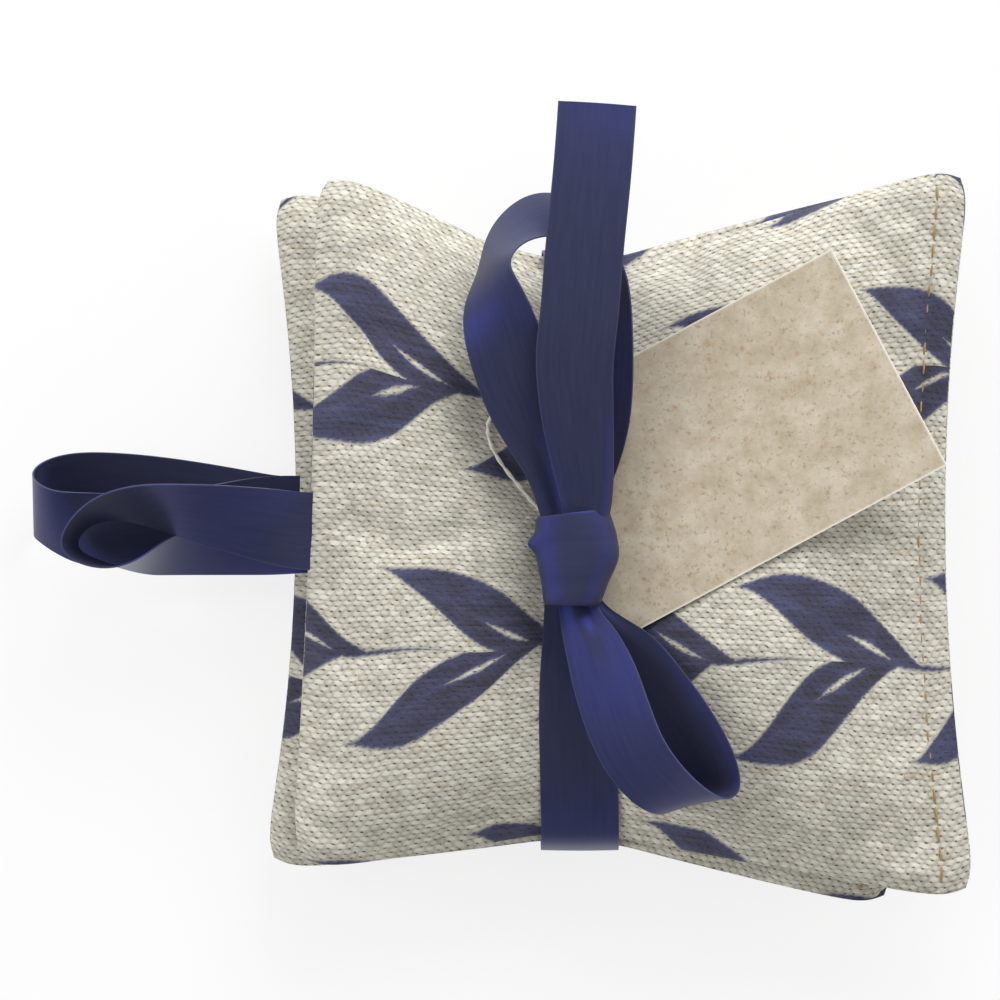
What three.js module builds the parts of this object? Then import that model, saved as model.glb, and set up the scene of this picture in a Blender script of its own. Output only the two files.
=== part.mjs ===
// A pair of lavender sachets lying on their backs, tied together with one satin ribbon.
// Millimetres, +Z up out of the front faces, +X to the closing edge, +Y to the top.
// The origin is at the middle of the underside of the whole bundle.
import * as THREE from 'three';

// Sachets: two cloth panels sewn round a filling of dried buds
const SACHET_WIDTH = 127;
const SACHET_HEIGHT = 134;
const OUTER_CROWN = 11;
const INNER_CROWN = 6.5;
const CONTACT_FLAT = 1;
const REST_FLAT = 2.2;
const CLOTH = 0.8;
const FIT = 0.3;
const CLOSING_FLAT = 7;
const STITCH_INSET = 5.6;
const STITCH_LENGTH = 3.7;
const THREAD = 0.4;
const EAR_ROUND = 0.012;
const EDGE_REACH = 2.2;
const CROWN_POWER = 3.5;
const CROWN_EDGE = 0.7;
const SEAM_REACH = 0.98;
const SEAM_CORNER = 0.12;
const SEAM_END = 0.8;
const SEAM_STEPS = 60;

// How far the band pulls the cloth
const BAND_X = -3.5;
const PINCH = 0.42;
const PINCH_REACH = 27;
const PULL_CURVE = 1.15;
const SEAM_SHIFT = 4;

// Ribbon, card tag and string
const RIBBON_WIDTH = 15;
const RIBBON_THICKNESS = 0.4;
const KNOT_Y = -5.4;
const KNOT_OFFSET = -1.1;
const KNOT_THICKNESS = 9;
const TAG_LENGTH = 72;
const TAG_WIDTH = 47;
const TAG_THICKNESS = 0.6;
const TAG_ANGLE = THREE.MathUtils.degToRad(28);
const TAG_HOLE_DIAMETER = 3.6;
const TAG_HOLE_INSET = 6;
const TAG_CORNER_X = 66.9;
const TAG_CORNER_Y = 13.3;
const STRING_DIAMETER = 1;

// Places of the two sachets, with how far each soft corner strays from its square
const FRONT_PLACE = {
  at: [6.7, 0],
  stray: { tl: [3.3, 0.5], tr: [0.3, 1.5], br: [1.3, -1.5], bl: [-1.5, 4.5] },
  drawIn: { top: 16.5, bottom: 7.3, left: 0.8, right: 4.4 },
};
const REAR_PLACE = {
  at: [-2.1, -0.3],
  stray: { tl: [3.1, -1.9], tr: [0.6, -0.7], br: [-5.6, -2.5], bl: [1.8, 5.2] },
  drawIn: { top: 11, bottom: 7, left: 4.4, right: 4 },
};
const FRONT_LOOP_Y = 0.7;
const REAR_LOOP_Y = 4.6;

// Halves that follow from the sizes above
const HALF_FIT = FIT / 2;
const HALF_RIBBON = RIBBON_WIDTH / 2;

// Grid lines: close together where the cloth turns down to its seams
const ROWS = [-1, -0.94, -0.82, -0.62, -0.36, -0.12, 0.12, 0.36, 0.62, 0.82, 0.94, 1];
const LEFT_SHARES = [0, 0.06, 0.2, 0.45, 0.75, 1];
const RIGHT_SHARES = [0, 0.27, 0.52, 0.74, 0.9, 1];
const FILL_SKIP = 2;

const lerp = THREE.MathUtils.lerp;
const clamp = THREE.MathUtils.clamp;

// Share of the band's pull along an edge: whole under the ribbon, none at the corners
function bandPull(x, left, right) {
  const away = Math.max(Math.abs(x - BAND_X) - HALF_RIBBON, 0);
  const span = (x < BAND_X ? BAND_X - left : right - BAND_X) - HALF_RIBBON;
  return clamp(1 - away / span, 0, 1) ** PULL_CURVE;
}

// Share of the pinch across the crown: whole under the ribbon, fading into the lobes
function bandPinch(x) {
  const away = Math.abs(x - BAND_X) - HALF_RIBBON - 1;
  return 0.5 + 0.5 * Math.cos(Math.PI * clamp(away / PINCH_REACH, 0, 1));
}

function crownShape(t) {
  return (1 - Math.min(Math.abs(t), 1) ** CROWN_POWER) ** CROWN_EDGE;
}

// One sachet as a map from (u, v), each from -1 to 1, to places on its cloth.
// It lies on the height "under", with its outer crown up if it is the front one.
function makeSachet(place, under, isFront) {
  const { at, stray, drawIn } = place;
  const corner = (name, sx, sy) => new THREE.Vector2(
    at[0] + sx * SACHET_WIDTH / 2 + stray[name][0],
    at[1] + sy * SACHET_HEIGHT / 2 + stray[name][1],
  );
  const tl = corner('tl', -1, 1);
  const tr = corner('tr', 1, 1);
  const br = corner('br', 1, -1);
  const bl = corner('bl', -1, -1);
  const creaseU = 1 - 2 * CLOSING_FLAT / SACHET_WIDTH;
  const stitchU = 1 - 2 * STITCH_INSET / SACHET_WIDTH;
  const upperCrown = isFront ? OUTER_CROWN : INNER_CROWN;
  const lowerCrown = isFront ? INNER_CROWN : OUTER_CROWN;

  function plan(u, v) {
    const a = (1 + u * (1 - EAR_ROUND * Math.abs(v) ** 16)) / 2;
    const b = (1 + v * (1 - EAR_ROUND * Math.abs(u) ** 16)) / 2;
    const left = lerp(bl.x, tl.x, b);
    const right = lerp(br.x, tr.x, b);
    const waist = 1 - v * v;
    let x = lerp(left, right, a);
    let y = lerp(lerp(bl.y, br.y, a), lerp(tl.y, tr.y, a), b);
    const pull = bandPull(x, left, right);
    y -= drawIn.top * pull * b ** EDGE_REACH;
    y += drawIn.bottom * pull * (1 - b) ** EDGE_REACH;
    x -= drawIn.right * waist * a ** EDGE_REACH;
    x += drawIn.left * waist * (1 - a) ** EDGE_REACH;
    return { x, y, pull };
  }

  // Height of the cloth above and below the seam, before it is pressed flat
  function crowns(u, v) {
    const { x, y, pull } = plan(u, v);
    const across = (u + 1) * 2 / (creaseU + 1) - 1;
    const crown = crownShape(across) * crownShape(v);
    const pinched = 1 - PINCH * bandPinch(x);
    const shift = SEAM_SHIFT * pull ** 2 * Math.abs(v) ** 4 * (isFront ? -1 : 1);
    const above = shift + HALF_FIT + upperCrown * crown * (isFront ? pinched : 1);
    const below = shift - HALF_FIT - lowerCrown * crown * (isFront ? 1 : pinched);
    return { x, y, above, below };
  }

  const half = HALF_RIBBON + 1;
  const bandColumns = [-half, half].map((dx) => 2 * (BAND_X + dx - at[0]) / SACHET_WIDTH);
  const columns = [
    ...LEFT_SHARES.map((s) => lerp(-1, bandColumns[0], s)),
    ...RIGHT_SHARES.map((s) => lerp(bandColumns[1], creaseU, s)),
    1,
  ];
  let highest = 0;
  let lowest = 0;
  for (const u of columns) {
    for (const v of ROWS) {
      const { above, below } = crowns(u, v);
      highest = Math.max(highest, above);
      lowest = Math.min(lowest, below);
    }
  }

  // The lower face is pressed flat on what it lies on, the rear one also by the sachet over it
  const floor = lowest + (isFront ? CONTACT_FLAT : REST_FLAT);
  const ceiling = isFront ? highest : highest - CONTACT_FLAT;
  const seamZ = under + CLOTH - floor;
  const top = seamZ + ceiling + CLOTH;

  function heights(u, v) {
    const { x, y, above, below } = crowns(u, v);
    return { x, y, upper: seamZ + Math.min(above, ceiling), lower: seamZ + Math.max(below, floor) };
  }

  // Where a plan point lies in (u, v)
  function locate(x, y) {
    let u = 2 * (x - at[0]) / SACHET_WIDTH;
    let v = 2 * (y - at[1]) / SACHET_HEIGHT;
    for (let i = 0; i < 12; i += 1) {
      const p = plan(clamp(u, -1, 1), clamp(v, -1, 1));
      u = clamp(u, -1, 1) + 2 * (x - p.x) / SACHET_WIDTH;
      v = clamp(v, -1, 1) + 2 * (y - p.y) / SACHET_HEIGHT;
    }
    return { u: clamp(u, -1, 1), v: clamp(v, -1, 1) };
  }

  return { at, plan, heights, locate, columns, stitchU, seamZ, top };
}

const rear = makeSachet(REAR_PLACE, 0, false);
const front = makeSachet(FRONT_PLACE, rear.top + FIT, true);

// Height of the front face of the bundle over a plan point
function clothTop(x, y) {
  const { u, v } = front.locate(x, y);
  return front.heights(u, v).upper + CLOTH;
}

const materials = {
  cloth: { color: 0xd6d0c0, roughness: 0.95, metalness: 0 },
  buds: { color: 0x7d7796, roughness: 1, metalness: 0 },
  satin: { color: 0x23265a, roughness: 0.35, metalness: 0 },
  thread: { color: 0xb39a74, roughness: 0.8, metalness: 0 },
  card: { color: 0xcdbea0, roughness: 0.85, metalness: 0 },
  string: { color: 0xf2efe8, roughness: 0.9, metalness: 0 },
};

const bundle = new THREE.Group();

function addPiece(name, geometry, material, parent = bundle) {
  const mesh = new THREE.Mesh(geometry, new THREE.MeshStandardMaterial(materials[material]));
  mesh.name = name;
  parent.add(mesh);
  return mesh;
}

function solidFrom(points, triangles) {
  const geometry = new THREE.BufferGeometry();
  geometry.setAttribute('position', new THREE.Float32BufferAttribute(points.flat(), 3));
  geometry.setIndex(triangles.flat());
  geometry.computeVertexNormals();
  return geometry;
}

// A closed slab between two heights over a grid of (u, v)
function slab(sachet, columns, rows, lowerZ, upperZ) {
  const points = [];
  const triangles = [];
  const wide = columns.length;
  const count = wide * rows.length;
  for (const height of [lowerZ, upperZ]) {
    for (const v of rows) {
      for (const u of columns) {
        const p = sachet.heights(u, v);
        points.push([p.x, p.y, height(p)]);
      }
    }
  }
  const wall = (a, b) => triangles.push([a, b, b + count], [a, b + count, a + count]);
  for (let j = 0; j < rows.length - 1; j += 1) {
    for (let i = 0; i < wide - 1; i += 1) {
      const a = j * wide + i;
      triangles.push([a, a + wide + 1, a + 1], [a, a + wide, a + wide + 1]);
      const b = a + count;
      triangles.push([b, b + 1, b + wide + 1], [b, b + wide + 1, b + wide]);
    }
    wall((j + 1) * wide, j * wide);
    wall(j * wide + wide - 1, (j + 1) * wide + wide - 1);
  }
  const top = (rows.length - 1) * wide;
  for (let i = 0; i < wide - 1; i += 1) {
    wall(i, i + 1);
    wall(top + i + 1, top + i);
  }
  return solidFrom(points, triangles);
}

// A round thread or string along a smooth curve
function tube(points, diameter, sides, steps) {
  const section = new THREE.Shape();
  for (let i = 0; i < sides; i += 1) {
    const turn = 2 * Math.PI * i / sides;
    const place = [Math.cos(turn) * diameter / 2, Math.sin(turn) * diameter / 2];
    if (i === 0) section.moveTo(...place);
    else section.lineTo(...place);
  }
  section.closePath();
  const extrudePath = new THREE.CatmullRomCurve3(points, false, 'centripetal');
  return new THREE.ExtrudeGeometry(section, { steps, extrudePath, bevelEnabled: false });
}

// A flat ribbon along stations of { at, across, width }, with square cut ends
function ribbon(stations, steps) {
  const path = new THREE.CatmullRomCurve3(stations.map((s) => s.at), false, 'centripetal');
  const side = new THREE.CatmullRomCurve3(stations.map((s) => s.across), false, 'centripetal');
  const last = stations.length - 1;
  const points = [];
  const triangles = [];
  for (let i = 0; i <= steps; i += 1) {
    const t = i / steps;
    const at = path.getPoint(t);
    const along = path.getTangent(t);
    const across = side.getPoint(t);
    across.addScaledVector(along, -across.dot(along)).normalize();
    const up = new THREE.Vector3().crossVectors(along, across);
    const k = Math.min(Math.floor(t * last), last - 1);
    const width = lerp(stations[k].width, stations[k + 1].width, t * last - k);
    for (const [w, h] of [[-1, -1], [1, -1], [1, 1], [-1, 1]]) {
      const p = at.clone().addScaledVector(across, w * width / 2);
      points.push(p.addScaledVector(up, h * RIBBON_THICKNESS / 2).toArray());
    }
    if (i === 0) continue;
    for (let n = 0; n < 4; n += 1) {
      const a = 4 * (i - 1) + n;
      const b = 4 * (i - 1) + (n + 1) % 4;
      // Both faces are split along the same diagonal, so that a twisted strip keeps its thickness
      if (n === 2) triangles.push([a, a + 4, b], [a + 4, b + 4, b]);
      else triangles.push([a, b + 4, b], [a, a + 4, b + 4]);
    }
  }
  const end = 4 * steps;
  triangles.push([0, 1, 2], [0, 2, 3], [end, end + 2, end + 1], [end, end + 3, end + 2]);
  return facingOut(points, triangles);
}

// The same closed solid with its faces turned outwards
function facingOut(points, triangles) {
  let volume = 0;
  for (const [a, b, c] of triangles) {
    const cross = new THREE.Vector3(...points[b]).cross(new THREE.Vector3(...points[c]));
    volume += new THREE.Vector3(...points[a]).dot(cross);
  }
  const outward = volume > 0 ? triangles : triangles.map(([a, b, c]) => [a, c, b]);
  return solidFrom(points, outward);
}

// A place on the flat facets of the cloth, where a thread has to find its room
function onFacets(sachet, u, v) {
  const { columns } = sachet;
  const cellOf = (list, t) => clamp(list.findIndex((edge) => edge >= t) - 1, 0, list.length - 2);
  const i = cellOf(columns, u);
  const j = cellOf(ROWS, v);
  const a = (u - columns[i]) / (columns[i + 1] - columns[i]);
  const b = (v - ROWS[j]) / (ROWS[j + 1] - ROWS[j]);
  const p00 = sachet.heights(columns[i], ROWS[j]);
  const p11 = sachet.heights(columns[i + 1], ROWS[j + 1]);
  const side = a > b ? sachet.heights(columns[i + 1], ROWS[j]) : sachet.heights(columns[i], ROWS[j + 1]);
  const weights = [1 - Math.max(a, b), Math.min(a, b), Math.abs(a - b)];
  const mix = (key) => weights[0] * p00[key] + weights[1] * p11[key] + weights[2] * side[key];
  return { x: mix('x'), y: mix('y'), upper: mix('upper'), lower: mix('lower') };
}

// Panels, filling and sewing of one sachet
function addSachet(sachet, label) {
  const { columns } = sachet;
  const upperPanel = slab(sachet, columns, ROWS, (p) => p.upper, (p) => p.upper + CLOTH);
  const lowerPanel = slab(sachet, columns, ROWS, (p) => p.lower - CLOTH, (p) => p.lower);
  addPiece(`${label}_sachet_front_panel`, upperPanel, 'cloth');
  addPiece(`${label}_sachet_back_panel`, lowerPanel, 'cloth');

  const fillColumns = columns.slice(FILL_SKIP, -FILL_SKIP);
  const fillRows = ROWS.slice(FILL_SKIP, -FILL_SKIP);
  const filling = slab(sachet, fillColumns, fillRows, (p) => p.lower + FIT, (p) => p.upper - FIT);
  addPiece(`${label}_sachet_lavender_filling`, filling, 'buds');

  // The first seam runs inside along the top, the left and the bottom edge
  const route = new THREE.Path();
  route.moveTo(SEAM_END, SEAM_REACH);
  route.lineTo(SEAM_CORNER - SEAM_REACH, SEAM_REACH);
  route.absarc(SEAM_CORNER - SEAM_REACH, SEAM_REACH - SEAM_CORNER, SEAM_CORNER, Math.PI / 2, Math.PI);
  route.lineTo(-SEAM_REACH, SEAM_CORNER - SEAM_REACH);
  route.absarc(SEAM_CORNER - SEAM_REACH, SEAM_CORNER - SEAM_REACH, SEAM_CORNER, Math.PI, 1.5 * Math.PI);
  route.lineTo(SEAM_END, -SEAM_REACH);
  const seam = route.getSpacedPoints(SEAM_STEPS).map((uv) => {
    const p = onFacets(sachet, uv.x, uv.y);
    return new THREE.Vector3(p.x, p.y, (p.upper + p.lower) / 2);
  });
  addPiece(`${label}_sachet_seam_thread`, tube(seam, THREAD, 4, SEAM_STEPS), 'thread');

  // The closing lockstitch: a needle thread above and a bobbin thread below the flat edge
  const stitches = Math.round(SACHET_HEIGHT / STITCH_LENGTH);
  const clear = HALF_FIT + CLOTH + FIT + THREAD / 2;
  for (const [name, sign] of [['needle', 1], ['bobbin', -1]]) {
    const line = [];
    for (let i = 0; i <= 2 * stitches; i += 1) {
      const p = sachet.plan(sachet.stitchU, lerp(0.965, -0.965, i / (2 * stitches)));
      const lift = i % 2 === 1 ? THREAD / 3 : 0;
      line.push(new THREE.Vector3(p.x, p.y, sachet.seamZ + sign * (clear + lift)));
    }
    addPiece(`${label}_sachet_${name}_thread`, tube(line, THREAD, 4, 2 * stitches), 'thread');
  }
}

addSachet(front, 'front');
addSachet(rear, 'rear');

// Hanging loops: stations of [reach from the seam, along the seam, height, across x, y, z]
const FRONT_LOOP = [
  [0, 0.2, 0.35, 0, 1, 0],
  [3, 0.2, 0.4, 0, 1, 0.05],
  [10.6, 2, 2, 0, 0.87, 0.5],
  [20.2, 3.6, 4, 0, 0.73, 0.68],
  [26, 4.6, 3, 0, 0.6, 0.8],
  [31.2, 5, 1.5, 0, 0.5, 0.87],
  [37, 4.3, 0.5, 0, 0.38, 0.92],
  [41.3, 3.1, 0, -0.15, 0.3, 0.94],
  [43.8, 1, 0, -0.25, 0.15, 0.95],
  [44.6, -1.6, 0, -0.3, 0, 0.95],
  [43.2, -3.6, 0, -0.2, -0.2, 0.96],
  [40.2, -4.8, 0, -0.1, -0.25, 0.96],
  [35.8, -5.8, 0, 0, -0.1, 1],
  [31.2, -5.9, -0.8, 0, 0.2, 0.98],
  [26, -4.2, -2.4, 0, 0.45, 0.89],
  [20.2, -2.6, -3.5, 0, 0.65, 0.76],
  [10.6, -0.9, -1.4, 0, 0.87, 0.5],
  [3, -0.3, -0.4, 0, 1, 0.05],
  [0, -0.3, -0.35, 0, 1, 0],
];
const REAR_LOOP = [
  [0, 0, 0.35, 0, 1, 0],
  [3, 0, 0.4, 0, 1, 0],
  [12, -0.5, 1.8, 0, 0.97, 0.2],
  [25, -1, 3.6, 0, 0.93, 0.36],
  [38, -1, 4.6, 0, 0.9, 0.44],
  [45, -0.6, 3.9, 0, 0.9, 0.44],
  [49, 0.8, 1.6, 0, 0.9, 0.44],
  [50.2, 2.2, -1.2, 0, 0.9, 0.44],
  [48.5, 3.8, -3, 0, 0.9, 0.44],
  [44, 5.2, -4, 0, 0.9, 0.44],
  [37, 5.4, -4.2, 0, 0.9, 0.44],
  [25, 4.2, -3.8, 0, 0.93, 0.36],
  [12, 1.8, -2.5, 0, 0.97, 0.2],
  [3, 0, -0.4, 0, 1, 0],
  [0, 0, -0.35, 0, 1, 0],
];
const LOOP_CLEARANCE = 0.75;

function addHangLoop(sachet, name, route, loopY) {
  let edgeX = Infinity;
  for (const dy of [-HALF_RIBBON, 0, HALF_RIBBON]) {
    edgeX = Math.min(edgeX, sachet.plan(-1, 2 * (loopY + dy - sachet.at[1]) / SACHET_HEIGHT).x);
  }
  const stations = route.map(([reach, along, rise, ax, ay, az]) => ({
    at: new THREE.Vector3(edgeX - LOOP_CLEARANCE - reach, loopY + along, sachet.seamZ + rise),
    across: new THREE.Vector3(ax, ay, az),
    width: RIBBON_WIDTH,
  }));
  addPiece(name, ribbon(stations, 3 * (route.length - 1)), 'satin');
}

addHangLoop(front, 'front_hang_loop', FRONT_LOOP, FRONT_LOOP_Y);
addHangLoop(rear, 'rear_hang_loop', REAR_LOOP, REAR_LOOP_Y);

// The band runs taut round both sachets, so it follows the hull of what it goes round
function bandSection() {
  const points = [];
  for (const sachet of [front, rear]) {
    for (const v of ROWS) {
      const row = sachet.columns.map((u) => sachet.heights(u, v));
      for (const edge of [BAND_X - HALF_RIBBON, BAND_X + HALF_RIBBON]) {
        const k = row.findIndex((p) => p.x > edge);
        const share = (edge - row[k - 1].x) / (row[k].x - row[k - 1].x);
        const mix = (key) => lerp(row[k - 1][key], row[k][key], share);
        points.push([mix('y'), mix('upper') + CLOTH], [mix('y'), mix('lower') - CLOTH]);
      }
      for (const p of row.filter((q) => Math.abs(q.x - BAND_X) < HALF_RIBBON + FIT)) {
        points.push([p.y, p.upper + CLOTH], [p.y, p.lower - CLOTH]);
      }
    }
  }
  points.sort((a, b) => a[0] - b[0] || a[1] - b[1]);
  const turn = (o, a, b) => (a[0] - o[0]) * (b[1] - o[1]) - (a[1] - o[1]) * (b[0] - o[0]);
  const halfHull = (list) => {
    const hull = [];
    for (const p of list) {
      while (hull.length > 1 && turn(hull.at(-2), hull.at(-1), p) <= 0) hull.pop();
      hull.push(p);
    }
    return hull.slice(0, -1);
  };
  return [...halfHull(points), ...halfHull([...points].reverse())];
}

const bandHull = bandSection();

function offsetHull(hull, distance) {
  return hull.map((p, i) => {
    const before = hull[(i + hull.length - 1) % hull.length];
    const after = hull[(i + 1) % hull.length];
    const normalOf = (a, b) => new THREE.Vector2(b[1] - a[1], a[0] - b[0]).normalize();
    const n1 = normalOf(before, p);
    const n2 = normalOf(p, after);
    const n = n1.clone().add(n2).normalize();
    const reach = distance / Math.max(n.dot(n1), 0.5);
    return [p[0] + n.x * reach, p[1] + n.y * reach];
  });
}

const bandInner = offsetHull(bandHull, FIT);
const bandOuter = offsetHull(bandHull, FIT + RIBBON_THICKNESS);
const bandTop = Math.max(...bandOuter.map((p) => p[1]));

function bandGeometry() {
  const points = [];
  const triangles = [];
  const count = bandHull.length;
  for (let i = 0; i < count; i += 1) {
    points.push([BAND_X - HALF_RIBBON, ...bandInner[i]], [BAND_X + HALF_RIBBON, ...bandInner[i]]);
    points.push([BAND_X + HALF_RIBBON, ...bandOuter[i]], [BAND_X - HALF_RIBBON, ...bandOuter[i]]);
    for (let n = 0; n < 4; n += 1) {
      const a = 4 * i + n;
      const b = 4 * i + (n + 1) % 4;
      const c = 4 * ((i + 1) % count) + n;
      const d = 4 * ((i + 1) % count) + (n + 1) % 4;
      triangles.push([a, b, d], [a, d, c]);
    }
  }
  return facingOut(points, triangles);
}
addPiece('tie_band', bandGeometry(), 'satin');

// The card lies with one end on the band and tips up over the lobe beside it
const tagAlong = new THREE.Vector2(Math.cos(TAG_ANGLE), Math.sin(TAG_ANGLE));
const tagAcross = new THREE.Vector2(-tagAlong.y, tagAlong.x);
const tagPlan = (s, t) => new THREE.Vector2(TAG_CORNER_X, TAG_CORNER_Y)
  .addScaledVector(tagAlong, s - TAG_LENGTH)
  .addScaledVector(tagAcross, t);
const TAG_ON_BAND = 12;
let tagLow = bandTop;
let tagSlope = 0;
for (const pass of ['near', 'far']) {
  for (let s = 0; s <= TAG_LENGTH; s += 4) {
    for (let t = 0; t <= TAG_WIDTH; t += 4) {
      const p = tagPlan(s, t);
      const cloth = clothTop(p.x, p.y);
      if (pass === 'near' && s < TAG_ON_BAND) tagLow = Math.max(tagLow, cloth);
      if (pass === 'far' && s >= TAG_ON_BAND) tagSlope = Math.max(tagSlope, (cloth - tagLow) / s);
    }
  }
}
tagLow += FIT;
const tagTilt = Math.atan(tagSlope);
const tagAt = (s, t, rise) => {
  const p = tagPlan(s, t);
  return new THREE.Vector3(p.x, p.y, tagLow + tagSlope * s + rise);
};

const tagHole = { s: TAG_HOLE_INSET, t: TAG_WIDTH - TAG_HOLE_INSET };
const tagShape = new THREE.Shape();
tagShape.moveTo(0, 0);
tagShape.lineTo(TAG_LENGTH, 0);
tagShape.lineTo(TAG_LENGTH, TAG_WIDTH);
tagShape.lineTo(0, TAG_WIDTH);
tagShape.closePath();
const holePath = new THREE.Path();
holePath.absarc(tagHole.s, tagHole.t, TAG_HOLE_DIAMETER / 2, 0, 2 * Math.PI, true);
tagShape.holes.push(holePath);
const tagGeometry = new THREE.ExtrudeGeometry(tagShape, {
  depth: TAG_THICKNESS, bevelEnabled: false, curveSegments: 10,
});
const tagGroup = new THREE.Group();
const tagX = new THREE.Vector3(tagAlong.x * Math.cos(tagTilt), tagAlong.y * Math.cos(tagTilt), Math.sin(tagTilt));
const tagY = new THREE.Vector3(tagAcross.x, tagAcross.y, 0);
const tagZ = new THREE.Vector3().crossVectors(tagX, tagY);
tagGroup.quaternion.setFromRotationMatrix(new THREE.Matrix4().makeBasis(tagX, tagY, tagZ));
tagGroup.position.copy(tagAt(0, 0, 0));
addPiece('tag_card', tagGeometry, 'card', tagGroup);
bundle.add(tagGroup);

// The knot sits on the card, over the band
const knotLow = tagAt(10, 0, TAG_THICKNESS + FIT).z;
const knotAt = new THREE.Vector3(BAND_X + KNOT_OFFSET, KNOT_Y, knotLow + KNOT_THICKNESS / 2);

// Sections of the knot from its top to its foot: [x, y, half width, half height, point at the left]
const KNOT_SECTIONS = [
  [-0.7, 9, 6.2, 3.3, 0],
  [-0.3, 6, 7.5, 4.2, 0],
  [0, 3.7, 7.8, 4.4, 2.2],
  [0.2, 0.6, 7.9, 4.5, 0],
  [-0.3, -4.4, 6.2, 4.1, 0],
  [-1, -8.6, 4.2, 3.2, 0],
];
const KNOT_SIDES = 12;

function knotGeometry() {
  const points = [];
  const triangles = [];
  KNOT_SECTIONS.forEach(([x, y, wide, high, nub], row) => {
    for (let n = 0; n < KNOT_SIDES; n += 1) {
      const turn = 2 * Math.PI * n / KNOT_SIDES;
      const out = n === KNOT_SIDES / 2 ? nub : 0;
      points.push([knotAt.x + x + wide * Math.cos(turn) - out, knotAt.y + y, knotAt.z + high * Math.sin(turn)]);
      if (row === 0) continue;
      const a = (row - 1) * KNOT_SIDES + n;
      const b = (row - 1) * KNOT_SIDES + (n + 1) % KNOT_SIDES;
      triangles.push([a, b, b + KNOT_SIDES], [a, b + KNOT_SIDES, a + KNOT_SIDES]);
    }
  });
  const foot = (KNOT_SECTIONS.length - 1) * KNOT_SIDES;
  for (let n = 1; n < KNOT_SIDES - 1; n += 1) {
    triangles.push([0, n + 1, n], [foot, foot + n, foot + n + 1]);
  }
  return facingOut(points, triangles);
}
addPiece('bow_knot', knotGeometry(), 'satin');

// Bow ribbons: stations from the knot's middle of [x, y, z, across x, y, z, share of the width]
const UPPER_LOOP = [
  [-4.6, 10.2, 0.5, 0.95, 0.2, 0.1, 0.53],
  [-6, 17.9, 2, 0.97, 0.2, 0.12, 0.73],
  [-9.8, 29.4, 4.5, 0.95, 0.3, 0.15, 0.97],
  [-13.7, 41, 7, 0.95, 0.25, 0.2, 1],
  [-15.8, 49.6, 7.8, 0.75, 0.22, 0.6, 1],
  [-16.2, 56.2, 7, 0.38, 0.1, 0.9, 1],
  [-12.7, 63.1, 5.5, 0.42, -0.28, 0.86, 1],
  [-5.6, 66.9, 4, 0.19, -0.61, 0.77, 1],
  [2.2, 65.2, 3, -0.1, -0.3, 0.95, 1],
  [6.2, 57.4, 2, 0.4, 0, 0.9, 1],
  [5.4, 43.4, 0.5, 0.75, 0, 0.66, 1],
  [4.1, 27.4, -1, 0.9, 0.1, 0.4, 0.93],
  [1.8, 16.4, -1.8, 0.97, 0.1, 0.15, 0.7],
  [0.8, 10.2, -2.2, 1, 0, 0, 0.53],
];
const LOWER_LOOP = [
  [0.8, -10.6, 0.4, 0.97, 0.2, 0.1, 0.53],
  [2.7, -14.8, 2, 0.93, 0.25, 0.25, 0.73],
  [5.8, -22.1, 3.8, 0.9, 0.27, 0.35, 0.93],
  [8.2, -29.6, 4.8, 0.88, 0.3, 0.38, 1],
  [11, -36.6, 4.6, 0.82, 0.36, 0.45, 1],
  [14.4, -42.2, 3, 0.8, 0.4, 0.45, 1],
  [18.6, -45.8, 0, 0.8, 0.42, 0.43, 1],
  [22.2, -46.6, -2.6, 0.82, 0.45, 0.35, 1],
  [24.6, -44.1, -4.2, 0.84, 0.45, 0.3, 1],
  [24.2, -37.6, -4.2, 0.85, 0.45, 0.28, 1],
  [21.2, -30.6, -3.8, 0.85, 0.45, 0.25, 1],
  [16.4, -23.8, -3.2, 0.86, 0.45, 0.2, 1],
  [10.6, -17.2, -2.6, 0.85, 0.5, 0.15, 0.87],
  [5.8, -13.2, -2.2, 0.85, 0.5, 0.1, 0.63],
  [3, -10.8, -2.2, 0.95, 0.3, 0, 0.5],
];
const LONG_TAIL = [
  [2.3, 10.2, 2.6, 1, 0.05, 0, 0.6],
  [1.4, 17.4, 5, 1, 0.08, 0, 0.77],
  [0.2, 27.4, 8, 1, 0.08, 0, 0.93],
  [-0.4, 38.4, 10.5, 1, -0.04, 0, 1],
  [0.6, 47.4, 11.8, 1, -0.08, 0, 1],
  [1.5, 59.4, 12.2, 1, -0.08, 0, 1],
  [2.8, 71.9, 11.6, 1, -0.1, 0, 1],
  [3.5, 80.4, 10.4, 1, -0.08, 0, 1],
  [4, 87.9, 8.8, 1, -0.08, 0, 1],
];

// A strand that comes down to the cloth lies on it
function bowStations(route) {
  return route.map(([x, y, z, ax, ay, az, share]) => {
    const at = new THREE.Vector3(x, y, z).add(knotAt);
    const across = new THREE.Vector3(ax, ay, az);
    const drop = Math.abs(across.clone().normalize().z) * HALF_RIBBON + RIBBON_THICKNESS;
    at.z = Math.max(at.z, clothTop(at.x, at.y) + FIT + drop);
    return { at, across, width: share * RIBBON_WIDTH };
  });
}
addPiece('bow_loop_upper', ribbon(bowStations(UPPER_LOOP), 32), 'satin');
addPiece('bow_loop_lower', ribbon(bowStations(LOWER_LOOP), 32), 'satin');
addPiece('ribbon_tail', ribbon(bowStations(LONG_TAIL), 18), 'satin');

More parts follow.
